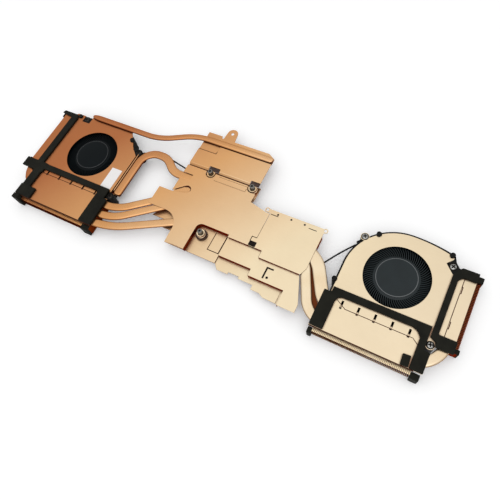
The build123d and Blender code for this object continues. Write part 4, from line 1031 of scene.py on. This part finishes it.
def make_lead(side):
    """Black lead on one smooth curve."""
    height, route = LEADS[side]
    data = bpy.data.curves.new(f"{side}_lead", "CURVE")
    data.dimensions = "3D"
    data.bevel_depth = LEAD_D / 2 * MM
    data.bevel_resolution = 4
    spline = data.splines.new("NURBS")
    spline.points.add(len(route) - 1)
    for control, (x, y) in zip(spline.points, route):
        control.co = (x * MM, y * MM, height * MM, 1)
    spline.order_u = 3
    spline.use_endpoint_u = True
    data.materials.append(looks["lead"])
    lead = bpy.data.objects.new(f"{side}_lead", data)
    bpy.context.scene.collection.objects.link(lead)
    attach(lead, "module")
    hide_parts(f"{side}_fan_lead")
    return lead


# Foam: voxel, and factor and passes of the smoothing
FOAM_VOXEL = 0.3
FOAM_SMOOTHING = 0.5
FOAM_PASSES = 5
FOAM_NODES = ("left_gasket", "right_front_gasket", "right_side_gasket", "foam_pad", "fin_end_wraps")


def make_foam(name):
    """Foam strip with rounded, slightly uneven edges, from the node that it replaces."""
    strip = blank(nodes[name].data.copy())
    strip.modifiers.new("weld", "WELD").merge_threshold = WELD
    remesh = strip.modifiers.new("remesh", "REMESH")
    remesh.mode = "VOXEL"
    remesh.voxel_size = FOAM_VOXEL * MM
    soften = strip.modifiers.new("soften", "SMOOTH")
    soften.factor = FOAM_SMOOTHING
    soften.iterations = FOAM_PASSES
    piece = add_piece(worked_out(strip), f"{name}_foam", "foam", "module", "foam", name, crease=80)


for node_name in nodes:
    dress_node(node_name)

for fan_side, fan_at in (("left", LEFT_FAN), ("right", RIGHT_FAN)):
    make_impeller(fan_side, fan_at)
    make_rim(fan_side, fan_at)
    make_fan_screws(fan_side)
    make_fins(f"{fan_side}_front_fins", ALONG_X)
make_fins("left_side_fins", ALONG_Y, bare=(SIDE_BARE, 0))
# the right side fins take the darker copper as painted shade
make_fins("right_side_fins", ALONG_Y, bare=(0, SIDE_BARE), look="fin_shaded")
for pipe_name, pipe in PIPES.items():
    make_pipe(pipe_name, *pipe)
for screw_number, screw_at in SCREWS.items():
    make_captive_screw(screw_number, screw_at)
    make_spring(screw_number, screw_at)
make_collars()
for seam_name in SEAMS:
    make_bead(seam_name)
make_shade_fills()
make_notch_floor()
make_pipe_gap_shade()
make_left_lug()
for foam_name in FOAM_NODES:
    make_foam(foam_name)
make_lead("right")
left_lead = make_lead("left")

make_camera()
make_world()
make_floor()
add_light("front", place=(0.25, -0.45, 0.75), aim=(0.0, 0.0, 0.0), size=0.9, watts=1.6)

bpy.context.scene.view_settings.view_transform = "Standard"
